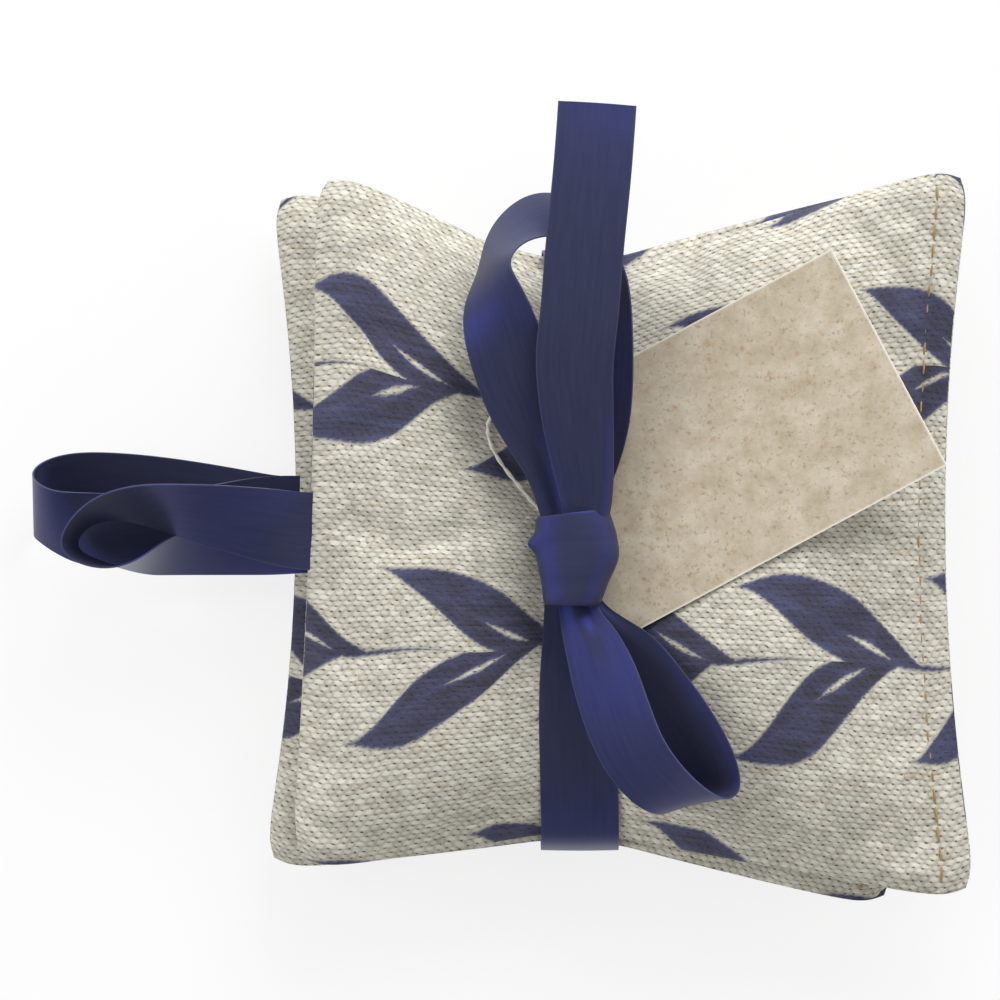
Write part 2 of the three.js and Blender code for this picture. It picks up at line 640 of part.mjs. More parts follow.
// The string goes from the card's hole, over its edge and along the cloth to the knot
const STRING_ROUTE = [
  [-20, 23.4],
  [-21.2, 20.2],
  [-19.6, 16.3],
  [-17, 12.8],
  [-14.6, 9.2],
  [-13, 6.2],
];
const STRING_LIFT = FIT + STRING_DIAMETER / 2;
const holeTop = tagAt(tagHole.s, tagHole.t, TAG_THICKNESS);
const stringPoints = [
  holeTop.clone().add(new THREE.Vector3(0, 0, -TAG_THICKNESS / 2)),
  holeTop.clone().add(new THREE.Vector3(-0.3, 0.2, 2 * STRING_LIFT)),
  tagAt(tagHole.s - 3, tagHole.t + 2.4, TAG_THICKNESS + 2.2 * STRING_LIFT),
  tagAt(-1.2, tagHole.t + 4.8, TAG_THICKNESS + 1.6 * STRING_LIFT),
  ...STRING_ROUTE.map(([x, y]) => new THREE.Vector3(x, y, clothTop(x, y) + STRING_LIFT + HALF_FIT)),
];
addPiece('tag_string', tube(stringPoints, STRING_DIAMETER, 8, 26), 'string');

// The origin is under the middle of the bundle
const box = new THREE.Box3().setFromObject(bundle);
bundle.position.set(-(box.min.x + box.max.x) / 2, -(box.min.y + box.max.y) / 2, -box.min.z);
bundle.updateMatrixWorld(true);

export default bundle;
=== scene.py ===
import functools
import math
import bpy
import numpy as np
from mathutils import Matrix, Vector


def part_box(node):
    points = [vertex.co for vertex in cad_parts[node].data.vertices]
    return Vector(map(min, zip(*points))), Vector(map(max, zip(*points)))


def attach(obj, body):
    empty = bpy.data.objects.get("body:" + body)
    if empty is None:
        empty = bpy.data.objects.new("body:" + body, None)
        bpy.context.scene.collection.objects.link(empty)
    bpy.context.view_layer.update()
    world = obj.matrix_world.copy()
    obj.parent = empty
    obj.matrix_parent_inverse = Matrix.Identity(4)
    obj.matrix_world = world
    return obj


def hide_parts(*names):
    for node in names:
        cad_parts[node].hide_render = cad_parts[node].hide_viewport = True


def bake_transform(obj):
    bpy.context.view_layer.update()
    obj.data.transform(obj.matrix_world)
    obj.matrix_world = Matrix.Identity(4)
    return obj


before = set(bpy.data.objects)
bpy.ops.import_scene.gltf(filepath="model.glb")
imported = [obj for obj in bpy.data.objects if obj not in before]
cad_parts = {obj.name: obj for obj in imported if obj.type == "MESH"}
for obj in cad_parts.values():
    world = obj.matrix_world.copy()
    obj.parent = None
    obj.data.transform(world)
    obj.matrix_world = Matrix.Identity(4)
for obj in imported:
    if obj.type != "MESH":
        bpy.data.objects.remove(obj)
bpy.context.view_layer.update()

# Sachets. Each is a bag of two canvas panels, sewn inside out along the top, the left and the
# bottom, turned, stuffed with dried lavender and closed by a lockstitch along the right edge.
# The pair lies on its back, and the band pulls a waist into both.
MM = 0.001
SACHET_WIDTH = 127.0
SACHET_HEIGHT = 134.0
OUTER_CROWN = 11.0
INNER_CROWN = 6.5
CROWN_POWER = 3.5
CROWN_ROUND = 0.7
PANEL_THICKNESS = 0.8
SEAM_PLAY = 0.15
EDGE_POWERS = (60, 40)
CLOSING_FLAT = 7.0
STITCH_INSET = 5.6
BAND_X = -3.5
BAND_MARGIN = 1.0
HALF_RIBBON = 7.5
CORNER_CUT = 0.034
CORNER_POWER = 22
CORNER_SPARE = (1.2, 2.0)
PULL_POWER = 1.15
DRAW_POWER = 2.2
WAIST_LEAN = 4.0
PINCH = 0.42
PINCH_REACH = 27.0
KNOT_Y = -5.4
KNOT_MIDDLE = 0.2
OPEN_ABOVE = 1000.0

band_low, band_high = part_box("tie_band")
knot_low, knot_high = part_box("bow_knot")
plan_x = (band_low.x + band_high.x) / (2 * MM) - BAND_X
plan_y = (knot_low.y + knot_high.y) / (2 * MM) - KNOT_Y - KNOT_MIDDLE
closing_u = 1 - 2 * CLOSING_FLAT / SACHET_WIDTH


def in_frame(points):
    return (np.asarray(points, float) + (plan_x, plan_y, 0)) * MM


def seam_height(label):
    ends = [*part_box(label + "_sachet_needle_thread"), *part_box(label + "_sachet_bobbin_thread")]
    return sum(p.z for p in ends) / (4 * MM)


SACHETS = {
    "front": {
        "at": (6.7, 0.0),
        "stray": {"tl": (3.3, 2.3), "tr": (0.3, 2.9), "br": (1.3, -1.5), "bl": (-1.5, 4.5)},
        "draw": {"top": 20.4, "bottom": 9.3, "left": 1.2, "right": 5.6},
        "crowns": (OUTER_CROWN, INNER_CROWN),
        "limits": (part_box("front_sachet_back_panel")[0].z / MM, OPEN_ABOVE),
    },
    "rear": {
        "at": (-2.1, -0.3),
        "stray": {"tl": (3.1, -0.5), "tr": (0.6, 0.7), "br": (-5.6, -2.5), "bl": (1.8, 5.2)},
        "draw": {"top": 14.4, "bottom": 9.0, "left": 5.6, "right": 5.2},
        "crowns": (INNER_CROWN, OUTER_CROWN),
        "limits": (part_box("rear_sachet_back_panel")[0].z / MM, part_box("rear_sachet_front_panel")[1].z / MM),
    },
}


# Over the flat bag u and v run from -1 to 1. The band draws the bag's edges in towards its waist.
def sachet_plan(label, u, v):
    sachet = SACHETS[label]
    corner = {}
    for name, sx, sy in (("tl", -1, 1), ("tr", 1, 1), ("br", 1, -1), ("bl", -1, -1)):
        corner[name] = np.array(sachet["at"]) + (sx * SACHET_WIDTH / 2, sy * SACHET_HEIGHT / 2)
        corner[name] += sachet["stray"][name] + np.array(CORNER_SPARE) * (sx, sy)
    a = (1 + u * (1 - CORNER_CUT * np.abs(v) ** CORNER_POWER)) / 2
    b = (1 + v * (1 - CORNER_CUT * np.abs(u) ** CORNER_POWER)) / 2
    left = corner["bl"][0] + (corner["tl"][0] - corner["bl"][0]) * b
    right = corner["br"][0] + (corner["tr"][0] - corner["br"][0]) * b
    low = corner["bl"][1] + (corner["br"][1] - corner["bl"][1]) * a
    high = corner["tl"][1] + (corner["tr"][1] - corner["tl"][1]) * a
    x = left + (right - left) * a
    y = low + (high - low) * b
    away = np.maximum(np.abs(x - BAND_X) - HALF_RIBBON, 0)
    span = np.where(x < BAND_X, BAND_X - left, right - BAND_X) - HALF_RIBBON
    pull = np.clip(1 - away / span, 0, 1) ** PULL_POWER
    draw = sachet["draw"]
    y = y - draw["top"] * pull * b ** DRAW_POWER + draw["bottom"] * pull * (1 - b) ** DRAW_POWER
    x = x + (1 - v * v) * (draw["left"] * (1 - a) ** DRAW_POWER - draw["right"] * a ** DRAW_POWER)
    return x, y, pull


def swell(t):
    return (1 - np.minimum(np.abs(t), 1) ** CROWN_POWER) ** CROWN_ROUND


def sachet_faces(label, u, v):
    x, y, pull = sachet_plan(label, u, v)
    crown = swell((u + 1) * 2 / (closing_u + 1) - 1) * swell(v)
    away = np.abs(x - BAND_X) - HALF_RIBBON - BAND_MARGIN
    pinched = 1 - PINCH * (0.5 + 0.5 * np.cos(math.pi * np.clip(away / PINCH_REACH, 0, 1)))
    front = label == "front"
    lean = WAIST_LEAN * pull ** 2 * np.abs(v) ** 4 * (-1 if front else 1)
    skin = np.sqrt(1 - np.abs(u) ** EDGE_POWERS[0]) * np.sqrt(1 - np.abs(v) ** EDGE_POWERS[1])
    skin = (PANEL_THICKNESS + SEAM_PLAY) * skin
    up, down = SACHETS[label]["crowns"]
    seam = seam_height(label)
    upper = seam + lean + skin + up * crown * (pinched if front else 1)
    lower = seam + lean - skin - down * crown * (1 if front else pinched)
    floor, ceiling = SACHETS[label]["limits"]
    return x, y, np.minimum(upper, ceiling), np.maximum(lower, floor)


def mesh_piece(name, points, faces):
    mesh = bpy.data.meshes.new(name)
    mesh.from_pydata([tuple(p) for p in points], [], [tuple(f) for f in faces])
    mesh.update()
    piece = bpy.data.objects.new(name, mesh)
    bpy.context.scene.collection.objects.link(piece)
    return piece


def select_alone(piece):
    bpy.ops.object.select_all(action="DESELECT")
    piece.select_set(True)
    bpy.context.view_layer.objects.active = piece


def apply_modifiers(piece):
    select_alone(piece)
    for modifier in list(piece.modifiers):
        bpy.ops.object.modifier_apply(modifier=modifier.name)


def grid_quads(rows, columns):
    for j in range(rows):
        for i in range(columns):
            yield [(j, i), (j, i + 1), (j + 1, i + 1), (j + 1, i)]


# The two sides of a bag have the points of its rim in common
def shared_rim(rim):
    top_index = np.arange(rim.size).reshape(rim.shape)
    low_index = top_index.copy()
    low_index[~rim] = rim.size + np.arange((~rim).sum())
    return top_index, low_index


def bag_faces(top_index, low_index):
    faces = []
    for quad in grid_quads(top_index.shape[0] - 1, top_index.shape[1] - 1):
        faces.append([top_index[k] for k in quad])
        faces.append([low_index[k] for k in reversed(quad)])
    return faces


# The bag is blown up by its filling: the seams and the strip under the band hold still. Where
# something lies on the front sachet, its cloth stays just below it.
COARSE_U, COARSE_V = 48, 50
SIM_SCALE = 10.0
PUFF_FRAMES = 24
PUFF_CAP = 3.5
PUFF_SLOPE = 0.22
PUFF_SETTINGS = {
    "quality": 6, "mass": 0.3, "tension_stiffness": 25, "compression_stiffness": 25,
    "shear_stiffness": 10, "bending_stiffness": 1.2, "use_pressure": True,
    "uniform_pressure_force": 2.5, "shrink_min": -0.025, "vertex_group_mass": "held",
}
LYING_ON_FRONT = ["tie_band", "tag_card", "tag_string", "bow_knot", "bow_loop_upper", "bow_loop_lower"]
LYING_GAP = 0.55


def room_above(points):
    room = np.full(len(points), PUFF_CAP)
    for number, spot in enumerate(in_frame(points)):
        for name in LYING_ON_FRONT:
            hit, place, _normal, _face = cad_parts[name].ray_cast(spot, (0, 0, 1))
            if hit:
                room[number] = min(room[number], max((place.z - spot[2]) / MM - LYING_GAP, 0))
    away = np.linalg.norm(points[:, None, :2] - points[None, :, :2], axis=2)
    return (room[None, :] + PUFF_SLOPE * away).min(1)


def puff_bag(label):
    u, v = np.meshgrid(np.linspace(-1, 1, COARSE_U + 1), np.linspace(-1, 1, COARSE_V + 1))
    x, y, upper, lower = sachet_faces(label, u, v)
    rim = (np.abs(u) == 1) | (np.abs(v) == 1)
    top_index, low_index = shared_rim(rim)
    low_points = np.stack([x, y, lower], -1)[~rim]
    points = np.concatenate([np.stack([x, y, upper], -1).reshape(-1, 3), low_points])
    bag = mesh_piece(label + "_bag", points * MM * SIM_SCALE, bag_faces(top_index, low_index))
    under_band = np.abs(x - BAND_X) < HALF_RIBBON + BAND_MARGIN
    sewn = rim | (u > closing_u)
    held_top = top_index[sewn | under_band if label == "front" else sewn]
    held_low = low_index[sewn | under_band if label == "rear" else sewn]
    group = bag.vertex_groups.new(name="held")
    group.add(sorted({int(k) for k in (*held_top, *held_low)}), 1.0, "REPLACE")
    cloth = bag.modifiers.new("puff", "CLOTH")
    for setting, value in PUFF_SETTINGS.items():
        setattr(cloth.settings, setting, value)
    cloth.settings.effector_weights.gravity = 0
    cloth.collision_settings.use_collision = False
    cloth.point_cache.frame_end = PUFF_FRAMES
    for step in range(1, PUFF_FRAMES + 1):
        bpy.context.scene.frame_set(step)
    done = bag.evaluated_get(bpy.context.evaluated_depsgraph_get()).to_mesh()
    moved = np.array([p.co for p in done.vertices]) / (MM * SIM_SCALE) - points
    bpy.data.objects.remove(bag)
    bpy.context.scene.frame_set(1)
    reach = np.linalg.norm(moved, axis=1, keepdims=True)
    puffed = points + moved * np.minimum(1, PUFF_CAP / np.maximum(reach, 1e-9))
    if label == "front":
        top = top_index.ravel()
        puffed[top, 2] = np.minimum(puffed[top, 2], points[top, 2] + room_above(points[top]))
    puffed[:, 2] = np.clip(puffed[:, 2], *SACHETS[label]["limits"])
    return puffed, top_index, low_index


def linear(hex_colour):
    parts = [int(hex_colour[i:i + 2], 16) / 255 for i in (1, 3, 5)]
    return [c / 12.92 if c <= 0.04045 else ((c + 0.055) / 1.055) ** 2.4 for c in parts] + [1.0]


# A node given as an input stands for its first live output, and a string is an sRGB colour. A Map
# Range's sockets 1 to 4 are the ends of its two ranges, and a Mix's 6 and 7 are its two colours.
def add_node(tree, kind, inputs=(), **settings):
    made = tree.nodes.new("ShaderNode" + kind)
    for name, value in settings.items():
        setattr(made, name, value)
    for key, value in dict(inputs).items():
        if isinstance(value, bpy.types.Node):
            value = next(socket for socket in value.outputs if socket.enabled)
        if isinstance(value, bpy.types.NodeSocket):
            tree.links.new(value, made.inputs[key])
        else:
            made.inputs[key].default_value = linear(value) if isinstance(value, str) else value
    return made


def new_material(name):
    material = bpy.data.materials.new(name)
    material.use_nodes = True
    material.node_tree.nodes.clear()
    return material, functools.partial(add_node, material.node_tree)


# Half-linen canvas: a plain weave of slubby threads about a millimetre apart, where pale weft
# beads stand over straw warp and every second corner is an open pinhole. The straw towards each
# bead's rim is partly the warp's own colour and partly painted shade between the beads, and the
# pinholes are painted dark as shade from inside the bag. Noise scales are per millimetre of cloth,
# and bead and hole sizes are shares of the thread pitch.
WARP_PITCH = 0.94
WEFT_PITCH = 1.04
THREAD_WANDER = 1.3
BEAD_HALF = (0.52, 0.6)
HOLE_HALF = (0.25, 0.23)
CANVAS_WEFT = "#D7D4CA"
# Straw warp colour, which also stands for painted shade in the valleys between beads
CANVAS_WARP_AND_VALLEY_SHADE = "#B9B4A3"
CANVAS_FLECK = "#A08A62"
# Pinhole colour: painted shade from inside the bag
CANVAS_PINHOLE_SHADE = "#3E392C"


def oval_reach(node, x, y, halves):
    spot = node("CombineXYZ", {0: x, 1: y})
    spot = node("VectorMath", {0: spot, 1: (1 / halves[0], 1 / halves[1], 0)}, operation="MULTIPLY")
    return node("VectorMath", {0: spot}, operation="LENGTH")


def canvas_weave(node, flat):
    wander = node("TexNoise", {"Vector": flat, "Scale": 0.3, "Detail": 2.0})
    drift = node("VectorMath", {0: wander.outputs["Color"], 1: (0.5, 0.5, 0.5)}, operation="SUBTRACT")
    drift = node("VectorMath", {0: drift, "Scale": THREAD_WANDER}, operation="SCALE")
    threads = node("VectorMath", {0: flat, 1: drift}, operation="ADD")
    counts = (1 / WARP_PITCH, 1 / WEFT_PITCH, 0)
    threads = node("VectorMath", {0: threads, 1: counts}, operation="MULTIPLY")
    threads = node("SeparateXYZ", {0: threads})
    pick = node("Math", {0: threads.outputs["Y"]}, operation="FLOOR")
    rise = node("Math", {0: threads.outputs["Y"], 1: pick}, operation="SUBTRACT")
    rise = node("Math", {0: rise, 1: 0.5}, operation="SUBTRACT")
    run = node("Math", {0: threads.outputs["X"], 1: pick}, operation="ADD")
    run = node("Math", {0: run, 1: 0.5}, operation="MULTIPLY")
    number = node("Math", {0: run}, operation="FLOOR")
    number = node("CombineXYZ", {0: number, 1: pick})
    own = node("TexWhiteNoise", {"Vector": number}, noise_dimensions="2D")
    run = node("Math", {0: run}, operation="FRACT")
    run = node("Math", {0: run, 1: 0.5}, operation="SUBTRACT")

    bead = oval_reach(node, run, rise, BEAD_HALF)
    plump = node("MapRange", {0: own, 3: 1.2, 4: 0.85})
    bead = node("Math", {0: bead, 1: plump}, operation="MULTIPLY")
    bead = node("MapRange", {0: bead, 1: 1.1, 2: 0.3}, interpolation_type="SMOOTHSTEP")

    side = node("Math", {0: rise}, operation="SIGN")
    hole_x = node("Math", {0: side, 1: -0.25, 2: run}, operation="MULTIPLY_ADD")
    hole_y = node("Math", {0: rise}, operation="ABSOLUTE")
    hole_y = node("Math", {0: hole_y, 1: 0.5}, operation="SUBTRACT")
    hole = oval_reach(node, hole_x, hole_y, HOLE_HALF)
    hole = node("MapRange", {0: hole, 1: 1.0, 2: 0.3, 4: 0.9}, interpolation_type="SMOOTHSTEP")
    open_here = node("TexNoise", {"Vector": flat, "Scale": 0.9, "Detail": 2.0})
    open_here = node("MapRange", {0: open_here, 1: 0.32, 2: 0.56, 3: 0.25, 4: 1.0})
    hole = node("Math", {0: hole, 1: open_here}, operation="MULTIPLY")

    slub = node("VectorMath", {0: flat, 1: (0.1, 1, 1)}, operation="MULTIPLY")
    slub = node("TexNoise", {"Vector": slub, "Scale": 1.0, "Detail": 3.0, "Roughness": 0.6})
    fleck = node("VectorMath", {0: flat, 1: (0.35, 1, 1)}, operation="MULTIPLY")
    fleck = node("TexNoise", {"Vector": fleck, "Scale": 0.6, "Detail": 4.0, "Roughness": 0.75})
    straw = node("MapRange", {0: fleck, 1: 0.56, 2: 0.76, 4: 0.85})
    # Beads fade from the pale weft at their crowns to the straw at their rims: partly the warp's own colour,
    # partly painted shade between beads
    yarn = node("Mix", {0: bead, 6: CANVAS_WARP_AND_VALLEY_SHADE, 7: CANVAS_WEFT}, data_type="RGBA")
    yarn = node("Mix", {0: straw, 6: yarn, 7: CANVAS_FLECK}, data_type="RGBA")
    tone = node("MapRange", {0: slub, 1: 0.3, 2: 0.7, 3: 0.82, 4: 1.06})
    own_tone = node("MapRange", {0: own, 3: 0.88, 4: 1.08})
    tone = node("Math", {0: tone, 1: own_tone}, operation="MULTIPLY")
    yarn = node("VectorMath", {0: yarn, "Scale": tone}, operation="SCALE")
    # Pinholes are painted dark: painted shade from inside the bag showing through
    cloth = node("Mix", {0: hole, 6: yarn, 7: CANVAS_PINHOLE_SHADE}, data_type="RGBA")
    return bead, hole, slub, cloth


# Print: rows of willow sprigs in indigo ink. Leaf pairs leave the stem to the left, each leaf
# bent like an S, with a bare sliver beside its midrib.
SPRIG_STEP = 36.0
ROW_STEP = 56.0
ROW_SLIP = 0.45
LOWER_SLIP = 0.14
PRINT_SWAY = 12.0
LEAF_RISE = 16.5
LEAF_HALF = 6.8
SLIVER_OFF = 1.2
STEM_HALF = 0.75
INK_DEEP = "#2C2B3A"
INK_PALE = "#44476B"


def leaf_print(node, flat):
    sway = node("TexNoise", {"Vector": flat, "Scale": 0.025, "Detail": 1.0})
    sway = node("VectorMath", {0: sway.outputs["Color"], "Scale": PRINT_SWAY}, operation="SCALE")
    drawn = node("VectorMath", {0: flat, 1: sway}, operation="ADD")
    drawn = node("SeparateXYZ", {0: drawn})
    rows = node("Math", {0: drawn.outputs["Y"], 1: ROW_STEP}, operation="DIVIDE")
    row = node("Math", {0: rows}, operation="ROUND")
    off_stem = node("Math", {0: rows, 1: row}, operation="SUBTRACT")
    off_stem = node("Math", {0: off_stem, 1: ROW_STEP}, operation="MULTIPLY")
    below = node("Math", {0: off_stem, 1: 0.0}, operation="LESS_THAN")
    off_stem = node("Math", {0: off_stem}, operation="ABSOLUTE")
    steps = node("Math", {0: drawn.outputs["X"], 1: SPRIG_STEP}, operation="DIVIDE")
    steps = node("Math", {0: row, 1: ROW_SLIP, 2: steps}, operation="MULTIPLY_ADD")
    steps = node("Math", {0: below, 1: LOWER_SLIP, 2: steps}, operation="MULTIPLY_ADD")
    sprig = node("Math", {0: steps}, operation="CEIL")
    along = node("Math", {0: sprig, 1: steps}, operation="SUBTRACT")

    leaf_number = node("Math", {0: row, 1: 7.3, 2: sprig}, operation="MULTIPLY_ADD")
    leaf_number = node("Math", {0: below, 1: 3.7, 2: leaf_number}, operation="MULTIPLY_ADD")
    own = node("TexWhiteNoise", {"W": leaf_number}, noise_dimensions="1D")
    tip = node("MapRange", {0: own, 3: 0.85 * LEAF_RISE, 4: 1.15 * LEAF_RISE})
    rib = node("MapRange", {0: along, 4: tip}, interpolation_type="SMOOTHSTEP")
    off_rib = node("Math", {0: off_stem, 1: rib}, operation="SUBTRACT")
    girth = node("Math", {0: along, 1: 0.92}, operation="POWER")
    girth = node("Math", {0: girth, 1: math.pi}, operation="MULTIPLY")
    girth = node("Math", {0: girth}, operation="SINE")
    girth = node("Math", {0: girth, 1: 1.5}, operation="POWER")
    girth = node("Math", {0: girth, 1: LEAF_HALF}, operation="MULTIPLY")
    leaf = node("Math", {0: off_rib}, operation="ABSOLUTE")
    leaf = node("Math", {0: girth, 1: leaf}, operation="SUBTRACT")

    sliver = node("Math", {0: off_rib, 1: SLIVER_OFF}, operation="ADD")
    sliver = node("Math", {0: sliver}, operation="ABSOLUTE")
    slim = node("MapRange", {0: along, 1: 0.2, 2: 0.5, 3: 0.0, 4: math.pi})
    slim = node("Math", {0: slim}, operation="SINE")
    slim = node("Math", {0: slim, 1: -1.2, 2: 0.65}, operation="MULTIPLY_ADD")
    sliver = node("Math", {0: sliver, 1: slim}, operation="ADD")
    leaf = node("Math", {0: leaf, 1: sliver}, operation="MINIMUM")

    taper = node("MapRange", {0: along, 1: 0.0, 2: 0.3, 3: STEM_HALF, 4: -0.5})
    trail = node("MapRange", {0: along, 1: 0.3, 2: 1.0, 3: -0.5, 4: STEM_HALF})
    stem = node("Math", {0: taper, 1: trail}, operation="MAXIMUM")
    stem = node("Math", {0: stem, 1: off_stem}, operation="SUBTRACT")
    edge = node("Math", {0: leaf, 1: stem}, operation="MAXIMUM")
    return edge, along


def canvas_material(name):
    material, node = new_material(name)
    uv = node("UVMap", uv_map="cloth")
    flat = node("VectorMath", {0: uv, 1: (SACHET_WIDTH, SACHET_HEIGHT, 1)}, operation="MULTIPLY")
    bead, hole, slub, cloth = canvas_weave(node, flat)
    edge, along = leaf_print(node, flat)
    ragged = node("MapRange", {0: bead, 3: -0.18, 4: 0.12})
    edge = node("Math", {0: edge, 1: ragged}, operation="ADD")
    inked = node("MapRange", {0: edge, 1: -0.45, 2: 0.5}, interpolation_type="SMOOTHSTEP")
    inked = node("Math", {0: inked, 1: 0.96}, operation="MULTIPLY")

    wash = node("TexNoise", {"Vector": flat, "Scale": 0.2, "Detail": 5.0, "Roughness": 0.7})
    worn = node("Math", {0: wash, 1: slub}, operation="MULTIPLY")
    worn = node("Math", {0: along, 1: 0.12, 2: worn}, operation="MULTIPLY_ADD")
    fuzz = node("TexNoise", {"Vector": flat, "Scale": 2.2, "Detail": 4.0, "Roughness": 0.7})
    worn = node("Math", {0: fuzz, 1: 0.45, 2: worn}, operation="MULTIPLY_ADD")
    thin = node("MapRange", {0: edge, 1: 0.2, 2: 1.6, 3: 0.12, 4: 0.0})
    worn = node("Math", {0: worn, 1: thin}, operation="ADD")
    worn = node("MapRange", {0: worn, 1: 0.42, 2: 0.74})
    ink = node("Mix", {0: worn, 6: INK_DEEP, 7: INK_PALE}, data_type="RGBA")
    # The ink is painted darker in the pinholes too: painted shade
    pinhole_shade_on_ink = node("MapRange", {0: hole, 3: 1.0, 4: 0.75})
    ink = node("VectorMath", {0: ink, "Scale": pinhole_shade_on_ink}, operation="SCALE")
    colour = node("Mix", {0: inked, 6: cloth, 7: ink}, data_type="RGBA")

    filled = node("MapRange", {0: inked, 3: 1.0, 4: 0.35})
    height = node("Math", {0: bead, 1: filled}, operation="MULTIPLY")
    height = node("Math", {0: fuzz, 1: 0.4, 2: height}, operation="MULTIPLY_ADD")
    bump = node("Bump", {"Strength": 0.3, "Distance": 0.25 * MM, "Height": height})
    shader = node("BsdfPrincipled", {
        "Base Color": colour, "Roughness": 0.92, "Specular IOR Level": 0.2,
        "Sheen Weight": 0.08, "Sheen Roughness": 0.5, "Normal": bump})
    node("OutputMaterial", {0: shader})
    return material


# Panels. Each is cut from the printed canvas, so the sprigs fall at a place of its own. The
# cloth is turned in at its rim, where it thins to the seam, and the closing stitch dents it.
CANVAS_THICKNESS = 0.55
RIM_SHARE = 0.15
RIM_REACH = 3
SUBDIVISIONS = 2
STITCH_LENGTH = 3.7
STITCH_DENT = 0.22
DENT_REACH = 0.7
TUG_SHARE = 0.25
PRINT_SHIFTS = {
    ("front", "front"): (0.0, 0.067), ("front", "back"): (3.4, 5.2),
    ("rear", "front"): (7.3, 0.1), ("rear", "back"): (11.6, 8.3),
}
canvas = canvas_material("half_linen_canvas_indigo_print")


def lay_map(piece, name, corner_uv):
    layer = piece.data.uv_layers.new(name=name)
    layer.data.foreach_set("uv", np.array(corner_uv, np.float32).ravel())


def panel_piece(name, points, index, facing, print_shift):
    faces, corner_uv = [], []
    for quad in grid_quads(COARSE_V, COARSE_U):
        if facing < 0:
            quad.reverse()
        faces.append([r * (COARSE_U + 1) + c for r, c in quad])
        corner_uv += [(c / COARSE_U + print_shift[0], r / COARSE_V + print_shift[1]) for r, c in quad]
    panel = mesh_piece(name, in_frame(points[index].reshape(-1, 3)), faces)
    lay_map(panel, "cloth", corner_uv)
    smooth = panel.modifiers.new("weave_fine", "SUBSURF")
    smooth.levels = smooth.render_levels = SUBDIVISIONS
    smooth.boundary_smooth = "PRESERVE_CORNERS"
    apply_modifiers(panel)

    mesh = panel.data
    corner_vertex = np.zeros(len(mesh.loops), np.int32)
    mesh.loops.foreach_get("vertex_index", corner_vertex)
    uv = np.zeros(len(mesh.loops) * 2, np.float32)
    mesh.uv_layers["cloth"].data.foreach_get("uv", uv)
    at = np.zeros((len(mesh.vertices), 2))
    at[corner_vertex] = uv.reshape(-1, 2)
    at = (at - print_shift) * (SACHET_WIDTH, SACHET_HEIGHT)
    place = np.zeros(len(mesh.vertices) * 3, np.float32)
    mesh.vertices.foreach_get("co", place)
    place = place.reshape(-1, 3)
    away = at[:, 0] - (SACHET_WIDTH - STITCH_INSET)
    tug = 1 - TUG_SHARE + TUG_SHARE * np.cos(2 * math.pi * at[:, 1] / STITCH_LENGTH)
    place[:, 2] -= facing * STITCH_DENT * MM * tug * np.exp(-(away / DENT_REACH) ** 2)
    mesh.vertices.foreach_set("co", place.ravel())
    mesh.update()

    rim = np.minimum(at, (SACHET_WIDTH, SACHET_HEIGHT) - at).min(1)
    group = panel.vertex_groups.new(name="thick")
    for vertex, share in enumerate(np.clip(RIM_SHARE + rim / RIM_REACH, RIM_SHARE, 1)):
        group.add([vertex], float(share), "REPLACE")
    wall = panel.modifiers.new("cloth_thickness", "SOLIDIFY")
    wall.thickness = CANVAS_THICKNESS * MM
    wall.offset = -1
    wall.vertex_group = "thick"
    apply_modifiers(panel)
    return panel


def dress(piece, material, cad_node):
    select_alone(piece)
    bpy.ops.object.shade_smooth()
    piece.data.materials.append(material)
    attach(piece, "tied_sachets")
    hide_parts(cad_node)


bags = {}
for label in ("rear", "front"):
    bags[label] = puff_bag(label)
    points, top_index, low_index = bags[label]
    for side, index, facing in (("front", top_index, 1), ("back", low_index, -1)):
        shift = PRINT_SHIFTS[label, side]
        panel = panel_piece(f"{label}_sachet_{side}_cloth", points, index, facing, shift)
        dress(panel, canvas, f"{label}_sachet_{side}_panel")

# Filling. Dried lavender buds, grey-violet grains about 5 mm long, fill each bag loosely.
# They are shut in by the cloth, so they are one lumpy mass just inside it.
BUD_SIZE = 4.0
BUD_RELIEF = 1.0
BUD_VIOLET = "#6E6488"
BUD_GREY = "#8D8A86"
FILL_INSET = 1.6
FILL_LEAST = 0.05
FILL_ROWS = slice(3, -3)
FILL_COLUMNS = slice(3, -6)

# Dried buds are dull, and each grain has a grey or violet of its own
buds, node = new_material("dried_lavender_buds")
place = node("TexCoord").outputs["Object"]
grains = node("TexVoronoi", {"Vector": place, "Scale": 1 / (BUD_SIZE * MM)})
own = grains.outputs["Color"]
hue = node("Mix", {0: own, 6: BUD_VIOLET, 7: BUD_GREY}, data_type="RGBA")
round_top = {"Strength": 0.8, "Distance": BUD_RELIEF * MM, "Height": grains.outputs["Distance"]}
bump = node("Bump", round_top, invert=True)
shader = node("BsdfPrincipled", {"Base Color": hue, "Roughness": 0.95, "Normal": bump})
node("OutputMaterial", {0: shader})

for label in ("rear", "front"):
    points, top_index, low_index = bags[label]
    top = points[top_index[FILL_ROWS, FILL_COLUMNS]] - (0, 0, FILL_INSET)
    low = points[low_index[FILL_ROWS, FILL_COLUMNS]] + (0, 0, FILL_INSET)
    middle = (top[..., 2] + low[..., 2]) / 2
    top[..., 2] = np.maximum(top[..., 2], middle + FILL_LEAST)
    low[..., 2] = np.minimum(low[..., 2], middle - FILL_LEAST)
    rim = np.zeros(middle.shape, bool)
    rim[[0, -1], :] = True
    rim[:, [0, -1]] = True
    top[rim, 2] = middle[rim]
    points = in_frame(np.concatenate([top.reshape(-1, 3), low[~rim]]))
    filling = mesh_piece(f"{label}_sachet_buds", points, bag_faces(*shared_rim(rim)))
    smooth = filling.modifiers.new("rounded", "SUBSURF")
    smooth.levels = smooth.render_levels = 1
    apply_modifiers(filling)
    dress(filling, buds, f"{label}_sachet_lavender_filling")

